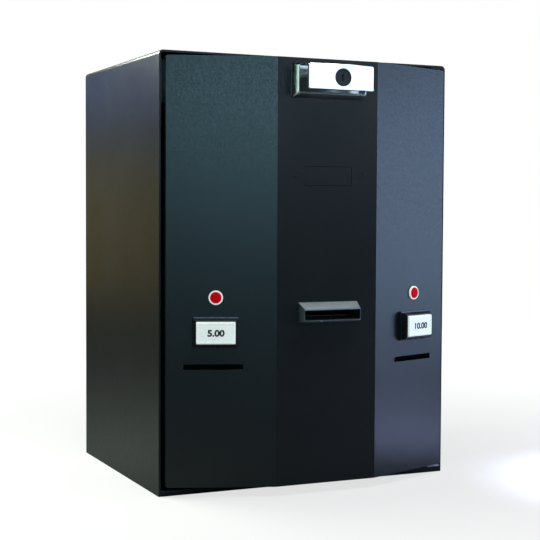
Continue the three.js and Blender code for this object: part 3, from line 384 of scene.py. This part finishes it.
def door_panel():
    """The door's sheet, with a wide radius on its bends and a small one on the cut edges."""
    mesh = flat_mesh("door_panel")
    _, _, (chute_low, chute_high) = CENTRE.reach("card_chute_left")
    facet_x, sheet_y = 90 * MM, -180 * MM

    def is_bend(a, b):
        upright = abs(a.z - b.z) > 300 * MM
        return upright and abs(a.x - b.x) < 0.1 * MM

    def is_slot(a, b):
        return all(chute_low < v.z < chute_high and abs(v.x) > facet_x and v.y < sheet_y for v in (a, b))

    round_edges(mesh, 2.2 * MM, 4, 15, is_bend)
    round_edges(mesh, 0.35 * MM, 2, 40, lambda a, b: not is_slot(a, b))
    round_edges(mesh, 1.0 * MM, 4, 60, is_slot)
    return finish_piece("door_skin", mesh, "door", "black_paint", ["door_panel"])


def quarter_turns(steps):
    """Angles from 0 to a right angle."""
    return [math.pi / 2 * step / steps for step in range(steps + 1)]


def lamp_bezel(side, face):
    """A white ring with a rolled lip, and the tube behind it."""
    lip, inside, tube, wall = 0.9 * MM, 8 * MM, 8.1 * MM, 0.4 * MM
    _, (front, back), (low, high) = face.reach(f"lamp_ring_{side}")
    _, _, lens = face.reach(f"lamp_lens_{side}")
    z, rim, inner = middle((low, high)), (high - low) / 2 - 0.2 * MM, length(lens) / 2 + 0.2 * MM
    profile = [(rim, 0), (rim, front + lip)]
    for turn in (math.pi * step / 6 for step in range(1, 7)):
        radius = (rim + inner) / 2 + (rim - inner) / 2 * math.cos(turn)
        profile.append((radius, front + lip - lip * math.sin(turn)))
    profile += [(inner, inside), (tube - wall, inside), (tube - wall, back), (tube, back), (tube, 0)]
    ring = lathe(profile, face.at, (0, z), closed=True)
    # The white ring glows with painted brightness; it is no lamp.
    finish_piece(f"lamp_bezel_{side}", ring, "door", "white_plastic", [f"lamp_ring_{side}"])
    under, over, thick = rim - 1 * MM, rim + 0.6 * MM, 0.5 * MM
    gasket = lathe([(under, 0), (under, -thick), (over, -thick), (over, 0)], face.at, (0, z), closed=True)
    finish_piece(f"lamp_gasket_{side}", gasket, "door", "rubber")


def lamp_dome(side, face):
    """A red lens, nearly flat, with a rounded rim."""
    edge, crown = 0.9 * MM, 0.5 * MM
    _, (front, back), (low, high) = face.reach(f"lamp_lens_{side}")
    radius = (high - low) / 2
    flat = radius - edge
    profile = [(flat * share, front + crown * share ** 2) for share in (0.01, 0.25, 0.5, 0.75, 1)]
    for turn in quarter_turns(5)[1:]:
        profile.append((flat + edge * math.sin(turn), front + crown + edge * (1 - math.cos(turn))))
    profile += [(radius, back), (AXIS, back)]
    _, _, ring = face.reach(f"lamp_ring_{side}")
    lens = lathe(profile, face.at, (0, middle(ring)))
    finish_piece(f"lamp_dome_{side}", lens, "door", "red_lens", [f"lamp_lens_{side}"])


def lamps():
    """Each lamp is a red lens in a white ring, with a thin black gasket round the ring's foot."""
    for side, face in FACETS.items():
        lamp_bezel(side, face)
        lamp_dome(side, face)


def buttons():
    """Each key sits in a stepped black surround, whose ledges lean back a little."""
    step, lean = 4 * MM, 0.28 * MM
    for side, face in FACETS.items():
        (left, right), (front, back), (low, high) = face.reach(f"button_bezel_{side}")
        cap_u, (cap_front, _), cap_z = face.reach(f"button_cap_{side}")
        z, base, key = middle((low, high)), (right - left, high - low), (length(cap_u), length(cap_z))

        def frame_ring(size, grow, corner, depth):
            return rounded(size[0] + grow, size[1] + grow, corner, (0, z)), depth

        rings = [
            frame_ring(base, 0, 1.6 * MM, back),
            frame_ring(base, 0, 1.6 * MM, -step + lean),
            frame_ring(base, -3.6 * MM, 1.4 * MM, -step),
            frame_ring(base, -3.6 * MM, 1.4 * MM, -2 * step),
            frame_ring(key, 3.4 * MM, 1.2 * MM, front + lean),
            frame_ring(key, 0.8 * MM, 0.8 * MM, front),
            frame_ring(key, 0.8 * MM, 0.8 * MM, back),
        ]
        mesh = skin(rings, face.at, closed=True)
        round_edges(mesh, 0.5 * MM, 3, 25)
        finish_piece(f"button_frame_{side}", mesh, "door", "black_plastic", [f"button_bezel_{side}"])
        key_cap(side, face, z, key, cap_front)


def key_cap(side, face, z, size, front):
    """A cap with a rounded rim round a slightly sunken label, and its stem to the switch."""
    stem, skirt, shank = 8 * MM, -3.6 * MM, (36 * MM, 18 * MM)

    def ring(shrink, corner, depth, outline=size):
        return rounded(outline[0] - shrink, outline[1] - shrink, corner, (0, z)), depth

    rings = [
        ring(0, 1 * MM, stem, shank),
        ring(0, 1 * MM, skirt, shank),
        ring(0, 1.2 * MM, skirt),
        ring(0, 1.2 * MM, front + 2.2 * MM),
        ring(0.7 * MM, 1.2 * MM, front + 0.9 * MM),
        ring(2.0 * MM, 1.0 * MM, front + 0.15 * MM),
        ring(2.9 * MM, 0.8 * MM, front),
        ring(5.2 * MM, 0.6 * MM, front),
        ring(5.8 * MM, 0.6 * MM, front + 0.35 * MM),
    ]
    mesh = skin(rings, face.at)
    round_edges(mesh, 0.15 * MM, 2, 25)
    # The cap's white plastic glows with painted brightness.
    finish_piece(f"key_cap_{side}", mesh, f"button_{side}", "white_plastic", [f"button_cap_{side}"])


def numerals():
    """The price on each key, printed on its label."""
    for side, words in (("left", "5.00"), ("right", "10.00")):
        face = FACETS[side]
        _, (front, _), (low, high) = face.reach(f"button_cap_{side}")
        curve = bpy.data.curves.new("print", "FONT")
        curve.body, curve.size, curve.offset, curve.extrude = words, 11.4 * MM, 0.5 * MM, 0.06 * MM
        curve.align_x, curve.align_y = "CENTER", "CENTER"
        source = bpy.data.objects.new("print", curve)
        bpy.context.scene.collection.objects.link(source)
        view = bpy.context.evaluated_depsgraph_get()
        flat = bpy.data.meshes.new_from_object(source.evaluated_get(view))
        bpy.data.objects.remove(source)
        mesh = bmesh.new()
        mesh.from_mesh(flat)
        for vert in mesh.verts:
            x, y, rise = vert.co
            vert.co = face.at(x * 1.12, front + 0.32 * MM - rise, middle((low, high)) - 0.5 * MM + y)
        bmesh.ops.reverse_faces(mesh, faces=mesh.faces)
        finish_piece(f"price_{side}", mesh, f"button_{side}", "black_plastic", material=PRINT_INK)


def slot_brushes_as_shade():
    """Two brush strips close each card slot, one from above and one from below. Their near-black, barely
    glossy finish is also painted shade: it shows the slot as the dark of its depth.
    """
    wide, high, shift, parting = 76.8 * MM, 6.8 * MM, {"left": -3 * MM, "right": 0}, 0.3 * MM
    front, back, below_middle = 1.7 * MM, 2.3 * MM, 1 * MM
    for side, face in FACETS.items():
        _, _, chute = face.reach(f"card_chute_{side}")
        for name, sign in (("upper", 1), ("lower", -1)):
            centre = (shift[side], middle(chute) - below_middle + sign * (high + parting) / 4)
            outline = rounded(wide, (high - parting) / 2, 0.1 * MM, centre, 2)
            mesh = skin([(outline, front), (outline, back)], face.at)
            finish_piece(f"slot_brush_{name}_{side}", mesh, "door", "rubber", material=SHADE_BRISTLE)


def bill_mouth():
    """The moulded hood round the bill mouth, and the black funnel inside it."""
    (left, right), (front, back), (low, high) = CENTRE.reach("bill_bezel")
    z, mouth_z, foot, shelf = middle((low, high)), middle((low, high)) - 2.5 * MM, -3 * MM, -0.3 * MM
    mouth, throat = (80 * MM, 12 * MM), (72 * MM, 6 * MM)
    liner = 0.6 * MM

    def ring(size, grow, corner, height, depth):
        return rounded(size[0] + grow, size[1] + grow, corner, (0, height)), depth

    hood = [
        ring(mouth, 2 * liner, 0.8 * MM, mouth_z, shelf),
        ring((right - left, high - low), 0, 1.6 * MM, z, shelf),
        ring((right - left, high - low), 0, 1.6 * MM, z, foot),
        ring((82 * MM, 16 * MM), 0, 1.2 * MM, mouth_z + 0.25 * MM, front + 0.3 * MM),
        ring(mouth, 2 * liner, 0.8 * MM, mouth_z, front),
    ]
    mesh = skin(hood, CENTRE.at, closed=True)
    round_edges(mesh, 0.3 * MM, 3, 25)
    finish_piece("bill_hood", mesh, "door", "graphite", ["bill_bezel"])
    funnel = [
        ring(mouth, 2 * liner - 0.1 * MM, 0.8 * MM, mouth_z, front + 0.3 * MM),
        ring(mouth, 0, 0.8 * MM, mouth_z, front + 0.3 * MM),
        ring(mouth, -0.4 * MM, 0.8 * MM, mouth_z, front + 5 * MM),
        ring(throat, 0, 0.8 * MM, mouth_z, -2 * MM),
        ring(throat, 0, 0.8 * MM, mouth_z, back),
        ring(mouth, 3 * MM, 0.8 * MM, mouth_z, back),
        ring(mouth, 3 * MM, 0.8 * MM, mouth_z, shelf + 0.1 * MM),
        ring(mouth, 2 * liner - 0.1 * MM, 0.8 * MM, mouth_z, shelf + 0.1 * MM),
    ]
    finish_piece("bill_funnel", skin(funnel, CENTRE.at, closed=True), "door", "black_plastic")


def handle_housing():
    """The die-cast tray that the T-handle folds into."""
    (left, right), (front, back), (low, high) = CENTRE.reach("t_handle_housing")
    (plate_left, plate_right), _, (plate_low, plate_high) = CENTRE.reach("handle_plate")
    _, _, barrel = CENTRE.reach("handle_barrel")
    outside, z, bore = (right - left, high - low), middle((low, high)), length(barrel) / 2 + 0.3 * MM
    recess = (plate_right - plate_left + 1.6 * MM, plate_high - plate_low + 1.6 * MM)
    recess_z, handle_z = middle((plate_low, plate_high)), middle(barrel)
    floor, shelf, foot, boss, lean = front + 9 * MM, -0.3 * MM, -2.5 * MM, bore + 2.2 * MM, 0.15 * MM

    def ring(size, corner, height, depth):
        return rounded(*size, corner, (0, height), 15), depth

    rings = [
        ring(outside, 2 * MM, z, shelf),
        ring(outside, 2 * MM, z, foot),
        ring((98 * MM, 38.6 * MM), 3 * MM, handle_z - 0.2 * MM, front + lean),
        ring(recess, 2 * MM, recess_z, front),
        ring(recess, 2 * MM, recess_z, floor),
        (circle(bore, (0, handle_z)), floor),
        (circle(bore, (0, handle_z)), back),
        (circle(boss, (0, handle_z)), back),
        (circle(boss, (0, handle_z)), shelf),
    ]
    mesh = skin(rings, CENTRE.at, closed=True)
    round_edges(mesh, 0.5 * MM, 3, 25)
    finish_piece("handle_tray", mesh, "door", "satin_nickel", ["t_handle_housing"])


def handle_plate():
    """The T-handle's grip: a crowned plate with a rounded edge and a hole for the lock."""
    (left, right), (front, back), (low, high) = CENTRE.reach("handle_plate")
    z, half, crown = middle((low, high)), (right - left) / 2, 4 * MM
    outline = resampled(rounded(right - left, high - low, 1.2 * MM, (0, z)), 1.5 * MM)
    _, _, plug = CENTRE.reach("lock_plug")
    hole = length(plug) / 2 + 0.4 * MM
    centre = middle(plug)

    def around(radius):
        turns = [math.atan2(v - centre, u) for u, v in outline]
        return [(radius * math.cos(t), centre + radius * math.sin(t)) for t in turns]

    def between(share):
        return [(a + (c - a) * share, b + (d - b) * share) for (a, b), (c, d) in zip(around(hole), outline)]

    def crowned(drop=0.0):
        return lambda u, v: front + crown * (u / half) ** 2 + drop

    edge = 1.1 * MM
    rings = [(around(hole), back), (around(hole), crowned(0.4 * MM)), (around(hole + 0.35 * MM), crowned())]
    rings += [(between(share / 12), crowned()) for share in range(1, 12)]
    for turn in quarter_turns(4):
        inset = edge * (1 - math.sin(turn))
        across, over = 1 - inset / half, 1 - 2 * inset / (high - low)
        points = [(u * across, z + (v - z) * over) for u, v in outline]
        rings.append((points, crowned(edge * (1 - math.cos(turn)))))
    rings.append((outline, back))
    finish_piece("grip_plate", skin(rings, CENTRE.at, closed=True), "handle", "chrome", ["handle_plate"])


def stud_marks():
    """Faint rings where studs are welded behind the door's sheet, and one in the blank cover's middle."""
    inner, outer, flank, proud, sunk = 3.7 * MM, 4.2 * MM, 0.1 * MM, 0.12 * MM, 0.05 * MM
    lower_stud, cover_mark, cover_depth = (2.5 * MM, 136.7 * MM), (0, 419 * MM), 0.2 * MM
    mesh = bmesh.new()
    for centre, face in [(stud, 0) for stud in (*VALIDATOR_STUDS, lower_stud)] + [(cover_mark, cover_depth)]:
        profile = [(inner, face + sunk), (inner + flank, face - proud), (outer - flank, face - proud),
                   (outer, face + sunk)]
        lathe(profile, CENTRE.at, centre, closed=True, steps=40, mesh=mesh)
    finish_piece("stud_marks", mesh, "door", "black_paint")


# ---- Inside the cabinet ----------------------------------------------------------------------------------

def facing(seat, outward):
    """Places (u, depth, v) round a seat, with depth counted against the outward direction."""
    seat, outward = Vector(seat), Vector(outward)
    across = outward.orthogonal().normalized()
    over = outward.cross(across)
    return lambda u, depth, v: seat + across * u - outward * depth + over * v


def hexagon(across_flats, points=24):
    """A hexagon's outline with the same number of points on every side."""
    outline = []
    for turn in (2 * math.pi * i / points for i in range(points)):
        off_flat = (turn % (math.pi / 3)) - math.pi / 6
        radius = across_flats / 2 / math.cos(off_flat)
        outline.append((radius * math.cos(turn), radius * math.sin(turn)))
    return outline


def screw_heads(name, body, seats, outward, radius=2.8 * MM, height=1.6 * MM):
    """Button heads with a hexagon socket, seated on one flat surface."""
    socket = hexagon(radius * 0.8)
    profile = [(1, 0), (1, 0.35), (0.88, 0.75), (0.62, 1)]
    mesh = bmesh.new()
    for seat in seats:
        rings = [(circle(radius * r, steps=24), -height * rise) for r, rise in profile]
        skin(rings + [(socket, -height), (socket, -height * 0.3)], facing(seat, outward), mesh=mesh)
    finish_piece(name, mesh, body, "steel")


def nuts(name, body, seats, outward, hole):
    """Hexagon nuts on their washers, round studs of this radius."""
    across_flats, height, washer, chamfer = 8 * MM, 4 * MM, 0.8 * MM, 0.4 * MM
    bore, disc, top = (circle(r, steps=24) for r in (hole, across_flats * 0.62, across_flats * 0.46))
    sides = hexagon(across_flats)
    rings = [(bore, 0), (disc, 0), (disc, -washer), (sides, -washer), (sides, chamfer - height),
             (top, -height), (bore, -height)]
    mesh = bmesh.new()
    for seat in seats:
        skin(rings, facing(seat, outward), closed=True, mesh=mesh)
    finish_piece(name, mesh, body, "zinc_plate")


def door_fasteners():
    """The nuts on the validator's studs, and the screws through the latch frame's feet."""
    flange_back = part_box("door_panel")[0].y + 7 * MM
    nuts("validator_nuts", "door", [(x, flange_back, z) for x, z in VALIDATOR_STUDS], (0, 1, 0), 2.6 * MM)
    foot_x, foot_levels = 57 * MM, (528 * MM, 558 * MM)
    foot_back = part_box("latch_frame")[0].y + 2.7 * MM
    feet = [(x, foot_back, z) for x in (-foot_x, foot_x) for z in foot_levels]
    screw_heads("latch_frame_screws", "door", feet, (0, 1, 0))


def cabinet_fasteners():
    """The screws of the top hinge leaf, the power supply's lid, the latch strikes and the shelf."""
    low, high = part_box("hinge_leaf_top")
    end, thick = 5 * MM, 2.5 * MM
    leaf = [(x, high.y - 6 * MM, high.z - thick) for x in (low.x + end, high.x - end)]
    screw_heads("hinge_screws", "cabinet", leaf, (0, 0, -1), 2.6 * MM, 1.1 * MM)
    low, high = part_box("power_supply")
    inset = 6 * MM
    lid = [(x, y, high.z) for x in (low.x + inset, high.x - inset) for y in (low.y + inset, high.y - inset)]
    screw_heads("power_supply_screws", "cabinet", lid, (0, 0, 1))
    shelf_low, shelf_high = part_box("equipment_shelf")
    strike_thick, shelf_thick = 3 * MM, 2 * MM
    for side, sign in SIDES.items():
        low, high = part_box(f"latch_strike_{side}")
        wall = sign * (max(abs(low.x), abs(high.x)) - strike_thick)
        strike = [(wall, high.y - 9 * MM, (low.z + high.z) / 2 + rise) for rise in (-16 * MM, 16 * MM)]
        screw_heads(f"strike_screws_{side}", "cabinet", strike, (-sign, 0, 0))
        rail_x, rail_z = sign * (shelf_high.x - shelf_thick), shelf_low.z + 9 * MM
        rail = [(rail_x, y, rail_z) for y in (-100 * MM, 10 * MM, 120 * MM)]
        screw_heads(f"shelf_screws_{side}", "cabinet", rail, (-sign, 0, 0))


def motor(node, sign, can, boss, cap):
    """A can motor along X, with its shaft towards the sign. can is (radius, near, far), and boss and cap are
    (radius, end), where each distance is along X, times the sign."""
    low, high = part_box(node)
    y, z = (low.y + high.y) / 2, (low.z + high.z) / 2
    (radius, near, far), (boss_radius, tip), (cap_radius, rear) = can, boss, cap
    lip, corner, groove, chamfer = 1.2 * MM, 0.3 * MM, 0.5 * MM, 0.4 * MM
    profile = [
        (AXIS, rear), (cap_radius - 0.6 * MM, rear), (cap_radius, rear + 0.6 * MM), (cap_radius, near),
        (radius - lip, near), (radius - corner, near + corner), (radius, near + lip), (radius, near + 4 * MM),
        (radius - groove, near + 4.4 * MM), (radius - groove, near + 5.4 * MM), (radius, near + 5.8 * MM),
        (radius, far - lip), (radius - corner, far - corner), (radius - lip, far), (boss_radius, far),
        (boss_radius, tip - chamfer), (boss_radius - chamfer, tip), (AXIS, tip),
    ]
    mesh = lathe(profile, lambda u, depth, v: Vector((sign * depth, y + u, z + v)))
    finish_piece(f"turned_{node}", mesh, BODIES[node], SLOTS[node], [node], smooth_angle=25)


def motors():
    for side, sign in SIDES.items():
        low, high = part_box(f"feed_motor_{side}")
        near, far = sorted((abs(low.x), abs(high.x)))
        can = (12.9 * MM, near + 4 * MM, far - 2.9 * MM)
        motor(f"feed_motor_{side}", sign, can, (5 * MM, far), (6 * MM, near))
    low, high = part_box("validator_motor")
    can = (8.9 * MM, low.x + 2 * MM, high.x - 13 * MM)
    motor("validator_motor", 1, can, (2 * MM, high.x), (4 * MM, low.x))


# What the control board carries, by its middle in X and Z, in millimetres.
POSTS = [(-70, 300), (-70, 400), (70, 300), (70, 400)]
CHIPS = [(-50, 370), (0, 380), (40, 350)]
SOCKETS = [(-44, 301), (-14, 301), (16, 301), (46, 301)]
CAPACITORS = [(52, 380), (62, 380), (-20, 335), (-8, 335), (60, 325)]
PIN_PITCH = 2.54 * MM
PIN_WIDTH = 0.6 * MM


def in_metres(places):
    return [(x * MM, z * MM) for x, z in places]


def upright(u, depth, v):
    return Vector((u, depth, v))


def slab(centre, size, front, back, corner=0.05 * MM, mesh=None):
    """A block from front to back along Y, by its middle and its size in X and Z."""
    outline = rounded(*size, corner, centre, 3)
    return skin([(outline, front), (outline, back)], upright, mesh=mesh)


def chips(face, bodies, pins):
    """Black packages with a row of ten legs along their top and bottom."""
    size, first_leg, leg_row, leg_height = (28 * MM, 14 * MM), -11.5 * MM, 8 * MM, 1.8 * MM
    for x, z in in_metres(CHIPS):
        slab((x, z), size, face - 4.4 * MM, face - 0.6 * MM, 0.6 * MM, bodies)
        for leg in range(10):
            for row in (z - leg_row, z + leg_row):
                centre = (x + first_leg + leg * PIN_PITCH, row)
                slab(centre, (PIN_WIDTH, leg_height), face - 2.4 * MM, face, mesh=pins)


def sockets(face, shells, pins):
    """Open connectors with a row of seven pins."""
    deep, first_pin = 9.5 * MM, -7.6 * MM
    for x, z in in_metres(SOCKETS):
        outer = rounded(22 * MM, 10 * MM, 0.5 * MM, (x, z), 3)
        inner = rounded(19.6 * MM, 7.6 * MM, 0.3 * MM, (x, z), 3)
        rings = [(outer, face), (outer, face - deep), (inner, face - deep), (inner, face - 2 * MM)]
        skin(rings, upright, mesh=shells)
        for pin in range(7):
            centre = (x + first_pin + pin * PIN_PITCH, z)
            slab(centre, (PIN_WIDTH, PIN_WIDTH), face - 8 * MM, face - 1.9 * MM, mesh=pins)


def capacitors(face, cans):
    """Cans with a crimped foot and a rounded top."""
    radius, crimp = 3.8 * MM, 3.5 * MM
    profile = [(radius, 0), (radius, -1 * MM), (crimp, -1.4 * MM), (radius, -1.8 * MM), (radius, -8 * MM),
               (3.4 * MM, -8.5 * MM), (AXIS, -8.5 * MM)]
    for x, z in in_metres(CAPACITORS):
        lathe(profile, facing((x, face, z), (0, -1, 0)), steps=24, mesh=cans)


def control_board():
    """The circuit board, on its posts, with what it carries."""
    low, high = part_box("control_board")
    stand_off, thick = 10 * MM, 1.6 * MM
    face = high.y - stand_off
    centre, size = ((low.x + high.x) / 2, (low.z + high.z) / 2), (high.x - low.x, high.z - low.z)
    finish_piece("board", slab(centre, size, face, face + thick, 3 * MM), "cabinet", "circuit_board",
                 ["control_board"])
    posts, bodies, pins, shells, cans = (bmesh.new() for _ in range(5))
    for x, z in in_metres(POSTS):
        outline = hexagon(6 * MM)
        skin([(outline, 0), (outline, thick - stand_off)], facing((x, high.y, z), (0, -1, 0)), mesh=posts)
    heads = [(x, face, z) for x, z in in_metres(POSTS)]
    screw_heads("board_screws", "cabinet", heads, (0, -1, 0), 2.8 * MM, 1.8 * MM)
    chips(face, bodies, pins)
    sockets(face, shells, pins)
    capacitors(face, cans)
    finish_piece("board_posts", posts, "cabinet", "brass")
    finish_piece("board_chips", bodies, "cabinet", "black_plastic")
    finish_piece("board_pins", pins, "cabinet", "steel")
    finish_piece("board_sockets", shells, "cabinet", "nylon")
    finish_piece("board_capacitors", cans, "cabinet", "black_plastic")


# ---- Camera, light and floor -----------------------------------------------------------------------------

def aim(yaw, pitch, roll=0.0):
    """A rotation in degrees: yaw turns from +Y towards +X, pitch is upwards and roll is clockwise."""
    yaw, pitch, roll = (math.radians(v) for v in (yaw, pitch, roll))
    ahead = Vector((math.sin(yaw) * math.cos(pitch), math.cos(yaw) * math.cos(pitch), math.sin(pitch)))
    right = Vector((math.cos(yaw), -math.sin(yaw), 0))
    up = right.cross(ahead)
    turned = right * math.cos(roll) - up * math.sin(roll)
    over = up * math.cos(roll) + right * math.sin(roll)
    return Matrix((turned, over, -ahead)).transposed().to_4x4()


EYE = (-0.763, -1.7237, 0.3731)
YAW, PITCH, ROLL = 24.4, -2.68, -0.28
SENSOR, LENS = 36, 85.23


def add_camera():
    camera = bpy.data.objects.new("camera", bpy.data.cameras.new("camera"))
    camera.data.sensor_width, camera.data.lens = SENSOR, LENS
    camera.matrix_world = Matrix.Translation(EYE) @ aim(YAW, PITCH, ROLL)
    bpy.context.scene.collection.objects.link(camera)
    bpy.context.scene.camera = camera


LIGHTS = {
    # name: azimuth, elevation, distance, (width, height), power, colour, target, spread
    "key_panel": (-16, 12, 2.2, (1.0, 0.3), 6.1, (0.43, 0.81, 1.0)),
    "key_panel_low": (-16, 4, 2.2, (1.0, 0.25), 1.3, (0.36, 0.82, 1.0)),
    "strip": (24, 12, 2.2, (2.0, 0.26), 3.1, (0.63, 0.82, 1.0)),
    "right_panel": (66, 3, 2.2, (1.1, 0.95), 13.8, (0.46, 0.66, 1.0)),
    "back_panel": (-156, 1, 2.2, (1.2, 0.45), 0.42, (1.0, 0.75, 0.2)),
    "back_panel_high": (-156, 13, 2.2, (1.2, 0.3), 0.5, (0.1, 0.2, 1.0)),
    "left_panel": (-105, 8, 2.2, (1.3, 0.8), 7, (0.7, 1.0, 0.92)),
    "ceiling": (24, 65, 2.2, (1.6, 0.8), 32, (1.0, 1.0, 1.0)),
    "floor_left": (-90, 89, 0.7, (0.3, 0.3), 10, (0.9, 1.0, 0.85), (-0.42, 0.12, 0)),
    "floor_right": (0, 89, 0.8, (0.3, 0.3), 6.5, (0.5, 0.57, 1.0), (0.9, -0.5, 0), 60),
    "floor_front": (0, 89, 0.4, (0.15, 0.15), 6, (0.5, 0.58, 1.0), (0.47, -0.35, 0), 60),
}


def add_light(name, azimuth, elevation, distance, size, power, colour, target=(0, 0, 0.29), spread=180):
    """A soft panel aimed at the target, with its light spread over this many degrees. Azimuth 0 is straight
    in front, and grows to the viewer's right."""
    target = Vector(target)
    a, e = math.radians(azimuth), math.radians(elevation)
    away = Vector((math.sin(a) * math.cos(e), -math.cos(a) * math.cos(e), math.sin(e)))
    data = bpy.data.lights.new(name, "AREA")
    data.shape = "RECTANGLE"
    data.size, data.size_y = size
    data.energy = power
    data.color = colour
    data.spread = math.radians(spread)
    lamp = bpy.data.objects.new(name, data)
    lamp.location = target + away * distance
    lamp.rotation_euler = (-away).to_track_quat("-Z", "Y").to_euler()
    bpy.context.scene.collection.objects.link(lamp)


WORLD_COLOUR = (0.006, 0.006, 0.006)


def add_world():
    """White behind the object, and a dim even glow everywhere else."""
    world = bpy.data.worlds.new("studio")
    world.use_nodes = True
    tree = world.node_tree
    glow = tree.nodes["Background"]
    path = tree.nodes.new("ShaderNodeLightPath")
    white = tree.nodes.new("ShaderNodeBackground")
    white.inputs["Color"].default_value = (1, 1, 1, 1)
    glow.inputs["Color"].default_value = (*WORLD_COLOUR, 1)
    mix = tree.nodes.new("ShaderNodeMixShader")
    tree.links.new(path.outputs["Is Camera Ray"], mix.inputs[0])
    tree.links.new(glow.outputs[0], mix.inputs[1])
    tree.links.new(white.outputs[0], mix.inputs[2])
    tree.links.new(mix.outputs[0], tree.nodes["World Output"].inputs["Surface"])
    bpy.context.scene.world = world


def add_floor():
    """White paper that is a little brighter away from the cabinet, so that only the contact shadow shows."""
    half = 14
    mesh = bmesh.new()
    mesh.faces.new([mesh.verts.new((x * half, y * half, 0)) for x, y in ((-1, -1), (1, -1), (1, 1), (-1, 1))])
    floor = to_object("floor", mesh)
    material, tree, principled = new_material("floor_paper", (0.15, 0.15, 0.15), 0.9, Specular_IOR_Level=0.0)
    tint(tree, principled, noise(tree, 3, 3), [(0.3, (0.14, 0.14, 0.14)), (0.7, (0.16, 0.16, 0.16))])
    where = tree.nodes.new("ShaderNodeTexCoord")
    distance = tree.nodes.new("ShaderNodeVectorMath")
    distance.operation = "LENGTH"
    spread = tree.nodes.new("ShaderNodeMapRange")
    spread.inputs["From Min"].default_value = 0.3
    spread.inputs["From Max"].default_value = 1.2
    spread.inputs["To Min"].default_value = 0.72
    spread.inputs["To Max"].default_value = 1.0
    path = tree.nodes.new("ShaderNodeLightPath")
    seen = tree.nodes.new("ShaderNodeMath")
    seen.operation = "MULTIPLY"
    tree.links.new(where.outputs["Object"], distance.inputs[0])
    tree.links.new(distance.outputs["Value"], spread.inputs["Value"])
    tree.links.new(spread.outputs["Result"], seen.inputs[0])
    tree.links.new(path.outputs["Is Camera Ray"], seen.inputs[1])
    principled.inputs["Emission Color"].default_value = (1, 1, 1, 1)
    tree.links.new(seen.outputs["Value"], principled.inputs["Emission Strength"])
    floor.data.materials.append(material)


# ---- Everything ------------------------------------------------------------------------------------------

def carried_over(replaced):
    """The CAD nodes that no piece stands for: each is made again with rounded edges."""
    for node in frame["nodes"]:
        if node not in replaced:
            fine(node)


bpy.context.scene.view_settings.view_transform = "Standard"
add_camera()
add_world()
add_floor()
for name, settings in LIGHTS.items():
    add_light(name, *settings)

door_panel()
lamps()
buttons()
numerals()
slot_brushes_as_shade()
bill_mouth()
handle_housing()
handle_plate()
stud_marks()
door_fasteners()
cabinet_fasteners()
motors()
control_board()
carried_over({node for piece in bpy.data.objects for node in piece.get("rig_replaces", [])})
